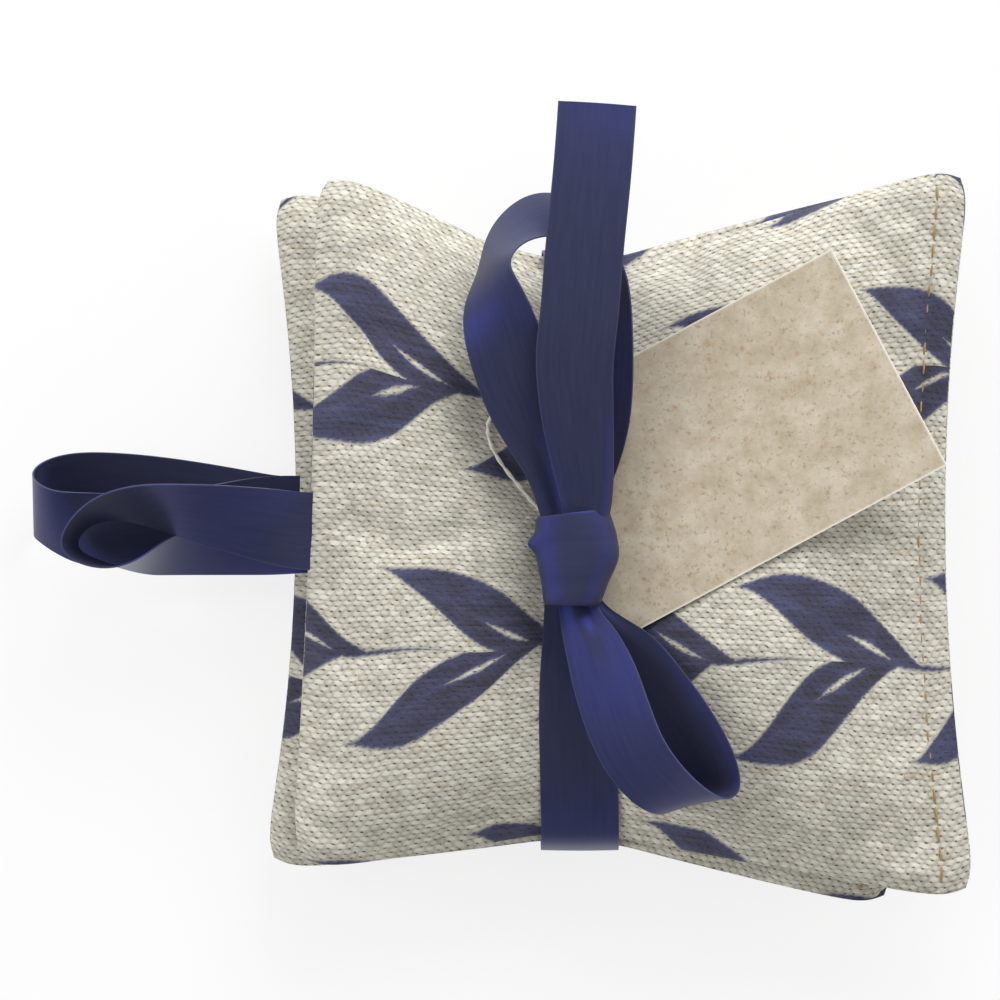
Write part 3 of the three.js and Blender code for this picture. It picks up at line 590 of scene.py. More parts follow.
# Sewing threads. Tan polyester-cotton thread: the lockstitch of the closing edge shows above
# and below as short tight dashes, and the first seam's thread stays hidden inside the bag.
THREAD = 0.5
THREAD_TWIST = 0.6
THREAD_TAN = "#B79A6E"
THREAD_TWIST_SHADE = "#8A6F49"
STITCHED_V = 0.965
STITCH_GAP = 0.06
STITCH_ARCH = 0.42
STITCH_ROUND = 0.6
STITCH_SUNK = 0.3
STITCH_TIP = 0.55
STITCH_SWAY = 0.12
SWAY_STEP = 5.1
STITCH_POINTS = 9
STITCH_SIDES = 7


# Spun thread has no gloss, or nearly none, and its twist gives darker and lighter turns: the darker ones are
# painted shade in the twist's grooves, mottled by noise
def spun_material(name, twist_shade, pale, twist_size, roughness):
    material, node = new_material(name)
    place = node("TexCoord").outputs["Object"]
    twist = node("TexNoise", {"Vector": place, "Scale": 1 / (twist_size * MM), "Detail": 2.0})
    # Mottled between the painted groove shade and the thread's pale tone
    shade = node("Mix", {0: twist, 6: twist_shade, 7: pale}, data_type="RGBA")
    bump = node("Bump", {"Strength": 0.5, "Distance": 0.1 * MM, "Height": twist})
    shader = node("BsdfPrincipled", {"Base Color": shade, "Roughness": roughness, "Normal": bump})
    node("OutputMaterial", {0: shader})
    return material


def tube_faces(rings, sides):
    faces = [[r * sides + c % sides for r, c in quad] for quad in grid_quads(rings - 1, sides)]
    faces.append(list(reversed(range(sides))))
    faces.append([(rings - 1) * sides + n for n in range(sides)])
    return faces


def ring_tube(path, radii, sides, groove=0.0, twist=None):
    twist = np.zeros(len(path)) if twist is None else twist
    path = np.asarray(path, float)
    along = np.gradient(path, axis=0)
    along /= np.linalg.norm(along, axis=1, keepdims=True)
    helper = np.array([0.0, 0.0, 1.0]) if abs(along[0][2]) < 0.9 else np.array([1.0, 0.0, 0.0])
    points = []
    for spot, way, radius, start in zip(path, along, radii, twist):
        side = np.cross(way, helper)
        side /= np.linalg.norm(side)
        rise = np.cross(side, way)
        for n in range(sides):
            turn = 2 * math.pi * n / sides
            reach = radius * (1 - groove + groove * math.cos(2 * turn - start))
            points.append(spot + reach * (side * math.cos(turn) + rise * math.sin(turn)))
    return points, tube_faces(len(path), sides)


thread = spun_material("tan_sewing_thread", THREAD_TWIST_SHADE, THREAD_TAN, THREAD_TWIST, roughness=0.7)
stitch_u = np.full(STITCH_POINTS, 1 - 2 * STITCH_INSET / SACHET_WIDTH)
stitches = round(SACHET_HEIGHT / STITCH_LENGTH)
arc = np.sin(math.pi * np.linspace(0, 1, STITCH_POINTS))
radii = THREAD / 2 * (STITCH_TIP + (1 - STITCH_TIP) * np.sqrt(arc))
for label in ("rear", "front"):
    for name, sign, face in (("needle", 1, 2), ("bobbin", -1, 3)):
        all_points, all_faces = [], []
        for k in range(stitches):
            share = np.linspace(k + STITCH_GAP, k + 1 - STITCH_GAP, STITCH_POINTS) / stitches
            sample = sachet_faces(label, stitch_u, STITCHED_V * (1 - 2 * share))
            sway = STITCH_SWAY * math.sin(SWAY_STEP * k) * arc
            height = sample[face] + sign * (STITCH_ARCH * arc ** STITCH_ROUND - STITCH_SUNK)
            path = np.stack([sample[0] + sway, sample[1], height], -1)
            points, faces = ring_tube(path, radii, STITCH_SIDES)
            all_faces += [[len(all_points) + i for i in f] for f in faces]
            all_points += points
        stitch_line = mesh_piece(f"{label}_sachet_{name}_stitches", in_frame(all_points), all_faces)
        dress(stitch_line, thread, f"{label}_sachet_{name}_thread")
    seam_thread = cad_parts[f"{label}_sachet_seam_thread"]
    seam_thread.data.materials.clear()
    seam_thread.data.materials.append(thread)

# Ribbon. Navy double-faced polyester satin, 15 mm wide, woven between two firm selvedges and cut
# square across. It is limp along its length and stays straight across it.
RIBBON_WIDTH = 15.0
RIBBON_THICKNESS = 0.32
RIBBON_COLUMNS = 24
RIM_ANGLE = math.radians(50)
SOFT_REACH = 8
PLEAT_DEPTH = 0.9
CUP_REST = 0.33
FLOAT_PITCH = 0.4
FLOATS_DRAWN_AS_ONE = 2
WAVE_REPEAT = 0.31
STREAK_COUNTS = (1.2, 0.1, 1)
SELVEDGE_SPAN = (0.48, 0.495)
SATIN_DEEP = "#313347"
SATIN_NAVY = "#3C3F53"
SATIN_SELVEDGE_HIGHLIGHT = "#44475C"
SATIN_GLEAM = "#2A40FF"

# Satin's long floats lie along the ribbon: the face is near black and turns bright blue where it
# mirrors the light, with faint streaks. The selvedges are painted a little paler, partly from their
# firmer weave and partly as a painted edge highlight. The floats are drawn coarser than real ones, to show.
satin, node = new_material("navy_polyester_satin")
uv = node("UVMap", uv_map="ribbon")
off_middle = node("SeparateXYZ", {0: uv})
off_middle = node("Math", {0: off_middle, 1: 0.5}, operation="SUBTRACT")
off_middle = node("Math", {0: off_middle}, operation="ABSOLUTE")
span = {0: off_middle, 1: SELVEDGE_SPAN[0], 2: SELVEDGE_SPAN[1]}
selvedge = node("MapRange", span, interpolation_type="SMOOTHSTEP")
in_mm = node("VectorMath", {0: uv, 1: (RIBBON_WIDTH, RIBBON_WIDTH, 1)}, operation="MULTIPLY")
streak = node("VectorMath", {0: in_mm, 1: STREAK_COUNTS}, operation="MULTIPLY")
streak = node("TexNoise", {"Vector": streak, "Scale": 1.0, "Detail": 3.0})
face = node("Mix", {0: streak, 6: SATIN_DEEP, 7: SATIN_NAVY}, data_type="RGBA")
# The selvedge is painted paler: partly its firmer weave, partly a painted edge highlight
face = node("Mix", {0: selvedge, 6: face, 7: SATIN_SELVEDGE_HIGHLIGHT}, data_type="RGBA")
float_scale = WAVE_REPEAT / FLOAT_PITCH / FLOATS_DRAWN_AS_ONE
floats = {"Vector": in_mm, "Scale": float_scale, "Distortion": 0.6, "Detail": 1.0}
floats = node("TexWave", floats, wave_type="BANDS", bands_direction="Y").outputs["Fac"]
height = node("Math", {0: floats, 1: 0.3, 2: selvedge}, operation="MULTIPLY_ADD")
bump = node("Bump", {"Strength": 0.05, "Distance": 0.2 * MM, "Height": height})
shader = node("BsdfPrincipled", {
    "Base Color": face, "Roughness": 0.36, "IOR": 1.52, "Specular IOR Level": 0.5,
    "Specular Tint": SATIN_GLEAM, "Normal": bump})
node("OutputMaterial", {0: shader})


# A spline that goes through all points and keeps its shape where they are close together
def smooth_path(points, t):
    points = np.asarray(points, float)
    last = len(points) - 1
    padded = np.concatenate([[2 * points[0] - points[1]], points, [2 * points[-1] - points[-2]]])
    place = np.clip(t * last, 0, last - 1e-9)
    k = place.astype(int)
    w = (place - k)[:, None]
    p0, p1, p2, p3 = (padded[k + n] for n in range(4))
    gaps = [np.maximum(np.linalg.norm(b - a, axis=1, keepdims=True), 1e-6) ** 0.5
            for a, b in ((p0, p1), (p1, p2), (p2, p3))]
    t1 = ((p1 - p0) / gaps[0] - (p2 - p0) / (gaps[0] + gaps[1]) + (p2 - p1) / gaps[1]) * gaps[1]
    t2 = ((p2 - p1) / gaps[1] - (p3 - p1) / (gaps[1] + gaps[2]) + (p3 - p2) / gaps[2]) * gaps[1]
    return p1 + t1 * w + (-3 * p1 + 3 * p2 - 2 * t1 - t2) * w ** 2 + (2 * p1 - 2 * p2 + t1 + t2) * w ** 3


# Evens out a route's bends, and leaves both of its ends where they are
def soften(values):
    ends = np.pad(values, ((SOFT_REACH, SOFT_REACH), (0, 0)), mode="reflect", reflect_type="odd")
    kernel = np.hanning(2 * SOFT_REACH + 3)[1:-1]
    return np.stack([np.convolve(column, kernel / kernel.sum(), "valid") for column in ends.T], -1)


def unit(ways):
    return ways / np.linalg.norm(ways, axis=1, keepdims=True)


def lengths_along(path):
    return np.concatenate([[0], np.cumsum(np.linalg.norm(np.diff(path, axis=0), axis=1))])


def satin_strip(name, points, faces, corner_uv):
    strip = mesh_piece(name, in_frame(points.reshape(-1, 3)), faces)
    lay_map(strip, "ribbon", corner_uv)
    wall = strip.modifiers.new("ribbon_thickness", "SOLIDIFY")
    wall.thickness = RIBBON_THICKNESS * MM
    wall.offset = 0
    apply_modifiers(strip)
    bpy.ops.object.shade_smooth_by_angle(angle=RIM_ANGLE)
    strip.data.materials.append(satin)
    return strip


# A station gives a place, the way across the ribbon there, and the share of the width that is
# left where the ribbon is gathered. The way across is turned square to the run: fully at 1.
def ribbon_piece(name, stations, steps, square, pleats=2.0, phase=0.0, roll=0.0, cup=0.0):
    stations = np.asarray(stations, float)
    t = np.linspace(0, 1, steps + 1)
    shaped = np.concatenate([smooth_path(stations[:, 0:3], t), smooth_path(stations[:, 3:6], t)], 1)
    gathers = np.interp(t * (len(stations) - 1), np.arange(len(stations)), stations[:, 6])
    shaped = soften(np.concatenate([shaped, gathers[:, None]], 1))
    path, across, share = shaped[:, 0:3], shaped[:, 3:6], shaped[:, 6:7]
    along = unit(np.gradient(path, axis=0))
    across = unit(across - square * along * (across * along).sum(1, keepdims=True))
    face = unit(np.cross(along, across))
    w = np.linspace(-1, 1, RIBBON_COLUMNS + 1)[None, :]
    bend = np.maximum(1 - share, 0) * (PLEAT_DEPTH * np.cos(math.pi * pleats * w + phase) - roll * w ** 4)
    bend = bend + cup * share * (w ** 2 - CUP_REST)
    off_run = w * share * RIBBON_WIDTH / 2
    points = path[:, None, :] + across[:, None, :] * off_run[..., None] + face[:, None, :] * bend[..., None]
    travel = lengths_along(path)
    faces, corner_uv = [], []
    for quad in grid_quads(steps, RIBBON_COLUMNS):
        faces.append([r * (RIBBON_COLUMNS + 1) + c for r, c in quad])
        corner_uv += [(c / RIBBON_COLUMNS, travel[r] / RIBBON_WIDTH) for r, c in quad]
    return satin_strip(name, points, faces, corner_uv), travel[-1] * MM


# Hanging loops. Each is a ribbon folded back on itself, with both ends caught in the left seam.
# The front one twists into a funnel over the plain ring of the rear one. A point gives the reach
# from the seam, the place along it, the height over it and the way across the ribbon.
LOOP_CAUGHT = 3.0
LOOP_STEPS = 140
LOOP_SQUARE = 0.1
HANGING_LOOPS = {
    "front": (0.7, [
        [0, 0.2, 0.35, 0, 1, 0], [3, 0.4, 0.5, 0, 1, 0.08], [8, 1.2, 2.2, 0, 0.92, 0.36],
        [15, 2.4, 4.4, 0, 0.83, 0.55], [21, 3.4, 5.6, 0, 0.72, 0.68], [27, 4.3, 5.6, 0, 0.61, 0.79],
        [32.7, 5.5, 3.8, 0, 0.44, 0.9], [38.4, 5.1, 1.8, 0, 0.32, 0.95],
        [42.2, 3.8, 0.8, -0.05, 0.24, 0.96], [45.35, 0.8, 0.2, -0.14, 0.11, 0.98],
        [46.45, -2.05, 0, -0.21, -0.02, 0.98], [45.6, -3.95, -0.3, -0.16, -0.09, 0.98],
        [43.15, -5.35, -0.6, -0.1, -0.11, 0.99], [40.25, -6.2, -1.1, -0.06, -0.11, 0.99],
        [37.4, -6.55, -1.8, -0.01, -0.05, 1], [34.7, -6.5, -2.7, 0.01, 0.05, 1],
        [32, -6.05, -3.8, 0.01, 0.18, 0.98], [29.65, -5.3, -5.2, 0, 0.31, 0.95],
        [27, -4.3, -6.8, 0, 0.45, 0.89], [21, -3.2, -7.2, 0, 0.6, 0.8],
        [15, -2.3, -5.4, 0, 0.72, 0.69], [8, -1, -2.6, 0, 0.9, 0.43],
        [3, -0.4, -0.5, 0, 1, 0.08], [0, -0.3, -0.35, 0, 1, 0],
    ]),
    "rear": (4.6, [
        [0, 0, 0.35, 0, 1, 0], [3, 0, 0.4, 0, 1, 0], [12, -0.9, 1.8, 0, 0.93, 0.36],
        [25, -2.6, 3.6, 0, 0.84, 0.54], [37, -3.3, 4.4, 0, 0.96, 0.28], [45, -1.9, 4, 0, 0.78, 0.63],
        [49, 0.4, 1.8, 0, 0.72, 0.69], [50.2, 2.2, -1.2, 0, 0.76, 0.65],
        [48.5, 3.8, -2.8, 0, 0.82, 0.57], [44, 5.2, -3.8, 0, 0.86, 0.5],
        [37, 5.4, -4.2, 0, 0.9, 0.44], [25, 4.2, -3.8, 0, 0.93, 0.36],
        [12, 1.8, -2.5, 0, 0.97, 0.2], [3, 0, -0.4, 0, 1, 0], [0, 0, -0.35, 0, 1, 0],
    ]),
}
for label, (loop_y, route) in HANGING_LOOPS.items():
    root_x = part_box(label + "_hang_loop")[1].x / MM - plan_x
    seam = seam_height(label)
    stations = []
    for reach, y, z, *across in [[-LOOP_CAUGHT, *route[0][1:]], *route, [-LOOP_CAUGHT, *route[-1][1:]]]:
        stations.append([root_x - reach, loop_y + y, seam + z, *across, 1.0])
    loop, length = ribbon_piece(label + "_hanging_loop", stations, LOOP_STEPS, LOOP_SQUARE)
    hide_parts(label + "_hang_loop")
    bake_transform(loop)

# Tying ribbon. One length of the same satin goes round both sachets, is knotted on the front
# and ends in a bow: a loop up to the left, a loop down to the right and one long tail.
BAND_STEPS = 240
BAND_ROUNDS = 3
BAND_CUP = 0.12
SWAY_PLACES = [-60, -31, -14, 0, 50]
FRONT_SWAY = [-0.2, -0.9, 0.4, 0.6, 0.6]
BACK_SWAY = -0.4
SWAY_SOFT = 7


def turns_right(o, a, b):
    return (a[0] - o[0]) * (b[1] - o[1]) - (a[1] - o[1]) * (b[0] - o[0]) <= 0


def hull_ring(points):
    ring = []
    for row in (points, points[::-1]):
        chain = []
        for p in row:
            while len(chain) > 1 and turns_right(chain[-2], chain[-1], p):
                chain.pop()
            chain.append(p)
        ring += chain[:-1]
    return np.array(ring)


def cut_corners(ring, rounds):
    for _ in range(rounds):
        after = np.roll(ring, -1, axis=0)
        ring = np.stack([0.75 * ring + 0.25 * after, 0.25 * ring + 0.75 * after], 1).reshape(-1, 2)
    return ring


band_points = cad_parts["tie_band"].data.vertices
ring = sorted({(round(p.co.y / MM - plan_y, 2), round(p.co.z / MM, 2)) for p in band_points})
ring = cut_corners(hull_ring(ring), BAND_ROUNDS)
closed = np.concatenate([ring, ring[:1]])
travel = lengths_along(closed)
spots = np.linspace(0, travel[-1], BAND_STEPS, endpoint=False)
band_y = np.interp(spots, travel, closed[:, 0])
band_z = np.interp(spots, travel, closed[:, 1])
front_side = band_z > (band_z.max() + band_z.min()) / 2
band_sway = np.where(front_side, np.interp(band_y, SWAY_PLACES, FRONT_SWAY), BACK_SWAY)
band_sway = np.concatenate([band_sway[-SWAY_SOFT:], band_sway, band_sway[:SWAY_SOFT]])
kernel = np.ones(2 * SWAY_SOFT + 1) / (2 * SWAY_SOFT + 1)
band_sway = np.convolve(band_sway, kernel, "valid")
outward = unit(np.stack([np.gradient(band_z), -np.gradient(band_y)], -1))
w = np.linspace(-1, 1, RIBBON_COLUMNS + 1)[None, :]
points = np.stack([
    (BAND_X + band_sway)[:, None] + w * HALF_RIBBON,
    band_y[:, None] - outward[:, :1] * BAND_CUP * w ** 2,
    band_z[:, None] - outward[:, 1:] * BAND_CUP * w ** 2], -1)
faces, corner_uv = [], []
for quad in grid_quads(BAND_STEPS, RIBBON_COLUMNS):
    quad = [quad[n] for n in (0, 3, 2, 1)]
    faces.append([r % BAND_STEPS * (RIBBON_COLUMNS + 1) + c for r, c in quad])
    corner_uv += [(c / RIBBON_COLUMNS, r * travel[-1] / BAND_STEPS / RIBBON_WIDTH) for r, c in quad]
band = satin_strip("tying_band", points, faces, corner_uv)
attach(band, "tied_sachets")
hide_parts("tie_band")

# Bow. Its loops and its tail come out of the knot gathered, open to their full width and rest on
# the cloth. A point is off the knot's middle, with the way across and the width that is left.
KNOT_OFFSET = -1.1
BOW_CLEAR = 0.3
BOW_CUP = 0.4
STEPS_A_POINT = 12
LOOK_DOWN_FROM = 100
UPPER_LOOP = [
    [-2.4, 4.5, 0.4, 1, 0.1, 0, 0.46], [-3.6, 10.2, 0.5, 0.95, 0.2, 0.1, 0.46],
    [-5.4, 17.9, 2, 0.97, 0.2, 0.12, 0.58], [-9.8, 29.4, 4.5, 0.95, 0.3, 0.15, 0.97],
    [-13.7, 41, 7, 0.95, 0.25, 0.2, 1], [-15.8, 49.6, 7.8, 0.75, 0.22, 0.6, 1],
    [-16.2, 56.2, 7, 0.38, 0.1, 0.9, 1], [-12.7, 63.1, 5.5, 0.42, -0.28, 0.86, 1],
    [-5.6, 66.9, 4, 0.19, -0.61, 0.77, 1], [2.2, 65.2, 3, -0.1, -0.3, 0.95, 1],
    [6.2, 57.4, 2, 0.4, 0, 0.9, 1], [5.4, 43.4, 0.5, 0.75, 0, 0.66, 1],
    [4.1, 27.4, -1, 0.9, 0.1, 0.4, 0.93], [1.8, 16.4, -1.8, 0.97, 0.1, 0.15, 0.7],
    [0.8, 10.2, -2.2, 1, 0, 0, 0.53], [0.4, 4.5, -2, 1, 0, 0, 0.46],
]
LOWER_LOOP = [
    [-0.4, -5, 0.4, 1, 0.1, 0, 0.42], [0.8, -10.6, 0.4, 0.97, 0.2, 0.1, 0.53],
    [2.7, -14.8, 2, 0.92, 0.25, 0.28, 0.73], [5.4, -22.1, 3.8, 0.85, 0.28, 0.42, 0.93],
    [7.9, -29.6, 4.8, 0.8, 0.3, 0.5, 1], [10.8, -36.4, 4.8, 0.77, 0.3, 0.54, 1],
    [14.2, -41.2, 3.6, 0.78, 0.28, 0.54, 1], [18.6, -45.2, 1.4, 0.8, 0.23, 0.53, 1],
    [22.8, -46.7, -1, 0.8, 0.18, 0.55, 1], [25.2, -44.7, -2.7, 0.8, 0.2, 0.54, 1],
    [23.9, -38.6, -3.4, 0.78, 0.3, 0.52, 1], [19.8, -31.4, -3.4, 0.75, 0.4, 0.5, 1],
    [14.6, -24.4, -3, 0.75, 0.42, 0.45, 1], [9.4, -17.6, -2.6, 0.8, 0.5, 0.3, 0.87],
    [5.2, -13.2, -2.2, 0.85, 0.5, 0.15, 0.63], [2.4, -9.6, -2, 0.95, 0.3, 0, 0.48],
    [0, -5, -1.8, 1, 0, 0, 0.42],
]
LONG_TAIL = [
    [1, 4.5, 2, 1, 0, 0, 0.5], [2, 10.2, 2.8, 1, 0.05, 0, 0.62], [1.4, 17.4, 5, 1, 0.08, 0, 0.77],
    [0.2, 27.4, 8, 1, 0.08, 0, 0.93], [-0.4, 38.4, 10.5, 1, -0.04, 0, 1],
    [0.6, 47.4, 11.8, 1, -0.08, 0, 1], [1.5, 59.4, 12.2, 1, -0.08, 0, 1],
    [2.8, 71.9, 11.6, 1, -0.1, 0, 1], [3.5, 80.4, 10.4, 1, -0.08, 0, 1],
    [4, 87.5, 8.8, 1, -0.02, 0, 1],
]
BOW_PIECES = [
    {"name": "upper_bow_loop", "node": "bow_loop_upper", "body": "upper_bow_loop", "route": UPPER_LOOP,
     "fold": {"square": 1.0, "pleats": 1.4, "phase": 0.4, "roll": 1.5}},
    {"name": "lower_bow_loop", "node": "bow_loop_lower", "body": "lower_bow_loop", "route": LOWER_LOOP,
     "fold": {"square": 0.1, "pleats": 1.6, "phase": 0.9, "roll": 1.5}},
    {"name": "long_ribbon_tail", "node": "ribbon_tail", "body": "tail", "route": LONG_TAIL,
     "fold": {"square": 1.0, "pleats": 1.3, "phase": 0.6, "roll": -3.5}},
]
knot_at = np.array([BAND_X + KNOT_OFFSET, KNOT_Y, (knot_low.z + knot_high.z) / (2 * MM)])
front_cloth = bpy.data.objects["front_sachet_front_cloth"]


def cloth_top(x, y):
    hit, place, _normal, _face = front_cloth.ray_cast(in_frame([x, y, LOOK_DOWN_FROM]), (0, 0, -1))
    return place.z / MM if hit else seam_height("front")


for piece in BOW_PIECES:
    stations = []
    for x, y, z, *across, share in piece["route"]:
        at = knot_at + (x, y, z)
        drop = abs(across[2]) / np.linalg.norm(across) * HALF_RIBBON + RIBBON_THICKNESS
        at[2] = max(at[2], cloth_top(at[0], at[1]) + BOW_CLEAR + drop)
        stations.append([*at, *across, share])
    steps = STEPS_A_POINT * (len(stations) - 1)
    strip, length = ribbon_piece(piece["name"], stations, steps, cup=BOW_CUP, **piece["fold"])
    root, reach = np.array(stations[1][:3]), np.array(stations[3][:3])
    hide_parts(piece["node"])
    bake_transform(strip)

# Knot. The ribbon wraps once round the crossing strands: a tight barrel, wide where the tail
# and the loop come out above, drawn together below, with the short end's tip at its left. Both
# rims roll in round the strands. A section gives its x, its y, its half width and half height.
KNOT_SECTIONS = np.array([
    [-0.4, 6, 2.2, 1.4], [-0.6, 8.4, 5.2, 3.2], [-0.7, 9.3, 6.7, 4.1], [-0.3, 6.2, 7.6, 4.5],
    [0, 3.7, 7.8, 4.5], [0.2, 0.6, 7.7, 4.5], [-0.3, -4.4, 6.2, 4.2], [-0.8, -8.4, 5, 3.6],
    [-0.8, -8.2, 3.6, 2.6], [-0.6, -5.5, 1.6, 1.1],
])
KNOT_ROWS, KNOT_SIDES = 72, 96
KNOT_SLANTS = (1.4, -0.7)
KNOT_WRAP = 2.6
FOLD_DEPTHS, FOLDS, FOLD_START = (0.0088, 0.033), 4, 0.9
CREASE_DEPTH, CREASES, CREASE_BEND = 0.018, 1.6, 0.12
TIP_REACH, TIP_Y, TIP_TALL, TIP_TURN, TIP_ARC = 1.6, 3.9, 1.7, 3.0, 0.36
TIP_LEAST_WIDTH = 4

rows = np.linspace(0, 1, KNOT_ROWS)[:, None]
turn = np.linspace(0, 2 * math.pi, KNOT_SIDES, endpoint=False)[None, :]
x, y, half_width, half_height = np.split(smooth_path(KNOT_SECTIONS, rows[:, 0]), 4, axis=1)
waves = np.linspace(*FOLD_DEPTHS, KNOT_ROWS)[:, None] * np.cos(FOLDS * turn + FOLD_START)
waves = waves + CREASE_DEPTH * np.cos(2 * math.pi * (CREASES * rows + CREASE_BEND * np.cos(turn)))
slant = np.linspace(*KNOT_SLANTS, KNOT_ROWS)[:, None] * np.cos(turn)
slant = slant * half_width / KNOT_SECTIONS[:, 2].max()
tip = np.exp(-((y - TIP_Y) / TIP_TALL) ** 2) * np.exp(-((turn - TIP_TURN) / TIP_ARC) ** 2)
tip = TIP_REACH * tip * (half_width > TIP_LEAST_WIDTH)
points = np.stack([
    x + half_width * np.cos(turn) * (1 + waves) - tip,
    y + slant,
    half_height * np.sin(turn) * (1 + waves)], -1) + knot_at
corner_uv = []
for quad in grid_quads(KNOT_ROWS - 1, KNOT_SIDES):
    corner_uv += [(rows[r, 0], c / KNOT_SIDES * KNOT_WRAP) for r, c in quad]
corner_uv += [(0.5, 0.0)] * (2 * KNOT_SIDES)
knot = mesh_piece("bow_knot_wrap", in_frame(points.reshape(-1, 3)), tube_faces(KNOT_ROWS, KNOT_SIDES))
lay_map(knot, "ribbon", corner_uv)
dress(knot, satin, "bow_knot")

# Tag. A stiff card of recycled-look board, printed with a speckled kraft ground on its face and
# left pale on its cut edges, slid under the bow and tied on by a corner hole.
CARD_LENGTH, CARD_WIDTH = 72.0, 47.0
CARD_CORNER = (66.9, 13.3)
CARD_TURN = math.radians(28)
CARD_WORN = 0.5
CLOUD_SIZE, SPECK_SIZE, FLECK_SIZE = 5, 1.5, 0.9
CARD_GROUND = "#CDC3B0"
CARD_SHADE = "#B4A68E"
CARD_FIBRE = "#A98663"
CARD_FLECK = "#8B8474"
CARD_EDGE = "#F1ECE0"

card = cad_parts["tag_card"]
card_points = np.array([p.co for p in card.data.vertices]) / MM
ways = ((1, 0, 0), (0, 1, 0), (-1, 0, 0), (0, -1, 0))
corners = card_points[[np.argmin(card_points @ way) for way in ways]]
card_middle = corners.mean(0)
card_axes = sorted([corners[1] - corners[0], corners[2] - corners[1]], key=np.linalg.norm, reverse=True)
card_axes = unit(np.array(card_axes))
card_normal = np.cross(*card_axes)

# Kraft print is matt and cloudy, with brown fibres and grey flecks. The board's pale core shows
# where it is cut, and a little way in along the edges, where the print is worn off.
board, node = new_material("speckled_kraft_card")
place = node("TexCoord").outputs["Object"]
cloud = {"Vector": place, "Scale": 1 / (CLOUD_SIZE * MM), "Detail": 5.0, "Roughness": 0.7}
cloud = node("MapRange", {0: node("TexNoise", cloud), 1: 0.32, 2: 0.66})
ground = node("Mix", {0: cloud, 6: CARD_SHADE, 7: CARD_GROUND}, data_type="RGBA")
specks = {"Vector": place, "Scale": 1 / (SPECK_SIZE * MM), "Detail": 3.0, "Roughness": 0.7}
specks = node("TexNoise", specks)
fibre = node("MapRange", {0: specks, 1: 0.56, 2: 0.76, 4: 0.75})
ground = node("Mix", {0: fibre, 6: ground, 7: CARD_FIBRE}, data_type="RGBA")
fleck = {"Vector": place, "Scale": 1 / (FLECK_SIZE * MM), "Detail": 2.0, "Roughness": 0.6}
fleck = node("MapRange", {0: node("TexNoise", fleck), 1: 0.3, 2: 0.4, 3: 0.55, 4: 0.0})
ground = node("Mix", {0: fleck, 6: ground, 7: CARD_FLECK}, data_type="RGBA")
normal = node("NewGeometry").outputs["Normal"]
upright = node("VectorMath", {0: normal, 1: card_normal}, operation="DOT_PRODUCT")
upright = node("Math", {0: upright}, operation="ABSOLUTE")
pale = node("MapRange", {0: upright, 1: 0.5, 2: 0.6, 3: 1.0, 4: 0.0})
for axis, side_length in zip(card_axes, (CARD_LENGTH, CARD_WIDTH)):
    off_middle = node("VectorMath", {0: place, 1: axis}, operation="DOT_PRODUCT")
    middle = float(np.dot(axis, card_middle)) * MM
    off_middle = node("Math", {0: off_middle, 1: middle}, operation="SUBTRACT")
    off_middle = node("Math", {0: off_middle}, operation="ABSOLUTE")
    limits = {1: (side_length / 2 - CARD_WORN) * MM, 2: side_length / 2 * MM}
    near_edge = node("MapRange", {0: off_middle, **limits, 4: 0.9})
    pale = node("Math", {0: pale, 1: near_edge}, operation="MAXIMUM")
colour = node("Mix", {0: pale, 6: ground, 7: CARD_EDGE}, data_type="RGBA")
bump = node("Bump", {"Strength": 0.15, "Distance": 0.1 * MM, "Height": specks})
shader = node("BsdfPrincipled", {
    "Base Color": colour, "Roughness": 0.6, "Specular IOR Level": 0.3, "Normal": bump})
node("OutputMaterial", {0: shader})
card.data.materials.clear()
card.data.materials.append(board)

# String. White two-ply cotton, under a millimetre thick, goes through the card's hole, over the
# card's corner and down to the knot. Its points are on the card first, then on the cloth.
STRING_DIAMETER = 0.8
STRING_RISE = 0.6
STRING_TWIST = 2.4
STRING_GROOVE = 0.22
STRING_STEPS = 120
STRING_SIDES = 14
STRING_FUZZ = 0.5
STRING_WHITE = "#F4F1EA"
STRING_SHADE = "#CFC9BC"
STRING_ON_CARD = [(6.0, 41.0, 0.0), (4.6, 43.0, 0.9), (3.2, 45.5, 1.0)]
STRING_ON_CLOTH = [
    (-17.9, 23.2), (-19.9, 23.7), (-21.3, 22.2), (-21.6, 19.6), (-20.6, 16.3),
    (-18.4, 12.8), (-15.6, 9.4), (-13, 6.2), (-10.8, 4.2),
]

# Cotton is quite dull: white with soft grey specks of painted shade between its fibres
cotton = spun_material("white_cotton_string", STRING_SHADE, STRING_WHITE, STRING_FUZZ, roughness=0.9)


def on_card(s, t, up):
    x = CARD_CORNER[0] + (s - CARD_LENGTH) * math.cos(CARD_TURN) - t * math.sin(CARD_TURN)
    y = CARD_CORNER[1] + (s - CARD_LENGTH) * math.sin(CARD_TURN) + t * math.cos(CARD_TURN)
    off_x, off_y = x + plan_x - card_middle[0], y + plan_y - card_middle[1]
    drop = (off_x * card_normal[0] + off_y * card_normal[1]) / card_normal[2]
    return [x, y, card_middle[2] - drop + up]


route = [on_card(*spot) for spot in STRING_ON_CARD]
route += [[x, y, cloth_top(x, y) + STRING_RISE] for x, y in STRING_ON_CLOTH]
line = soften(smooth_path(route, np.linspace(0, 1, STRING_STEPS + 1)))
string_length = lengths_along(line)[-1]
turns = np.linspace(0, 2 * math.pi * string_length / STRING_TWIST, len(line))
radii = np.full(len(line), STRING_DIAMETER / 2)
points, faces = ring_tube(line, radii, STRING_SIDES, STRING_GROOVE, turns)
string = mesh_piece("tag_cotton_string", in_frame(points), faces)
dress(string, cotton, "tag_string")

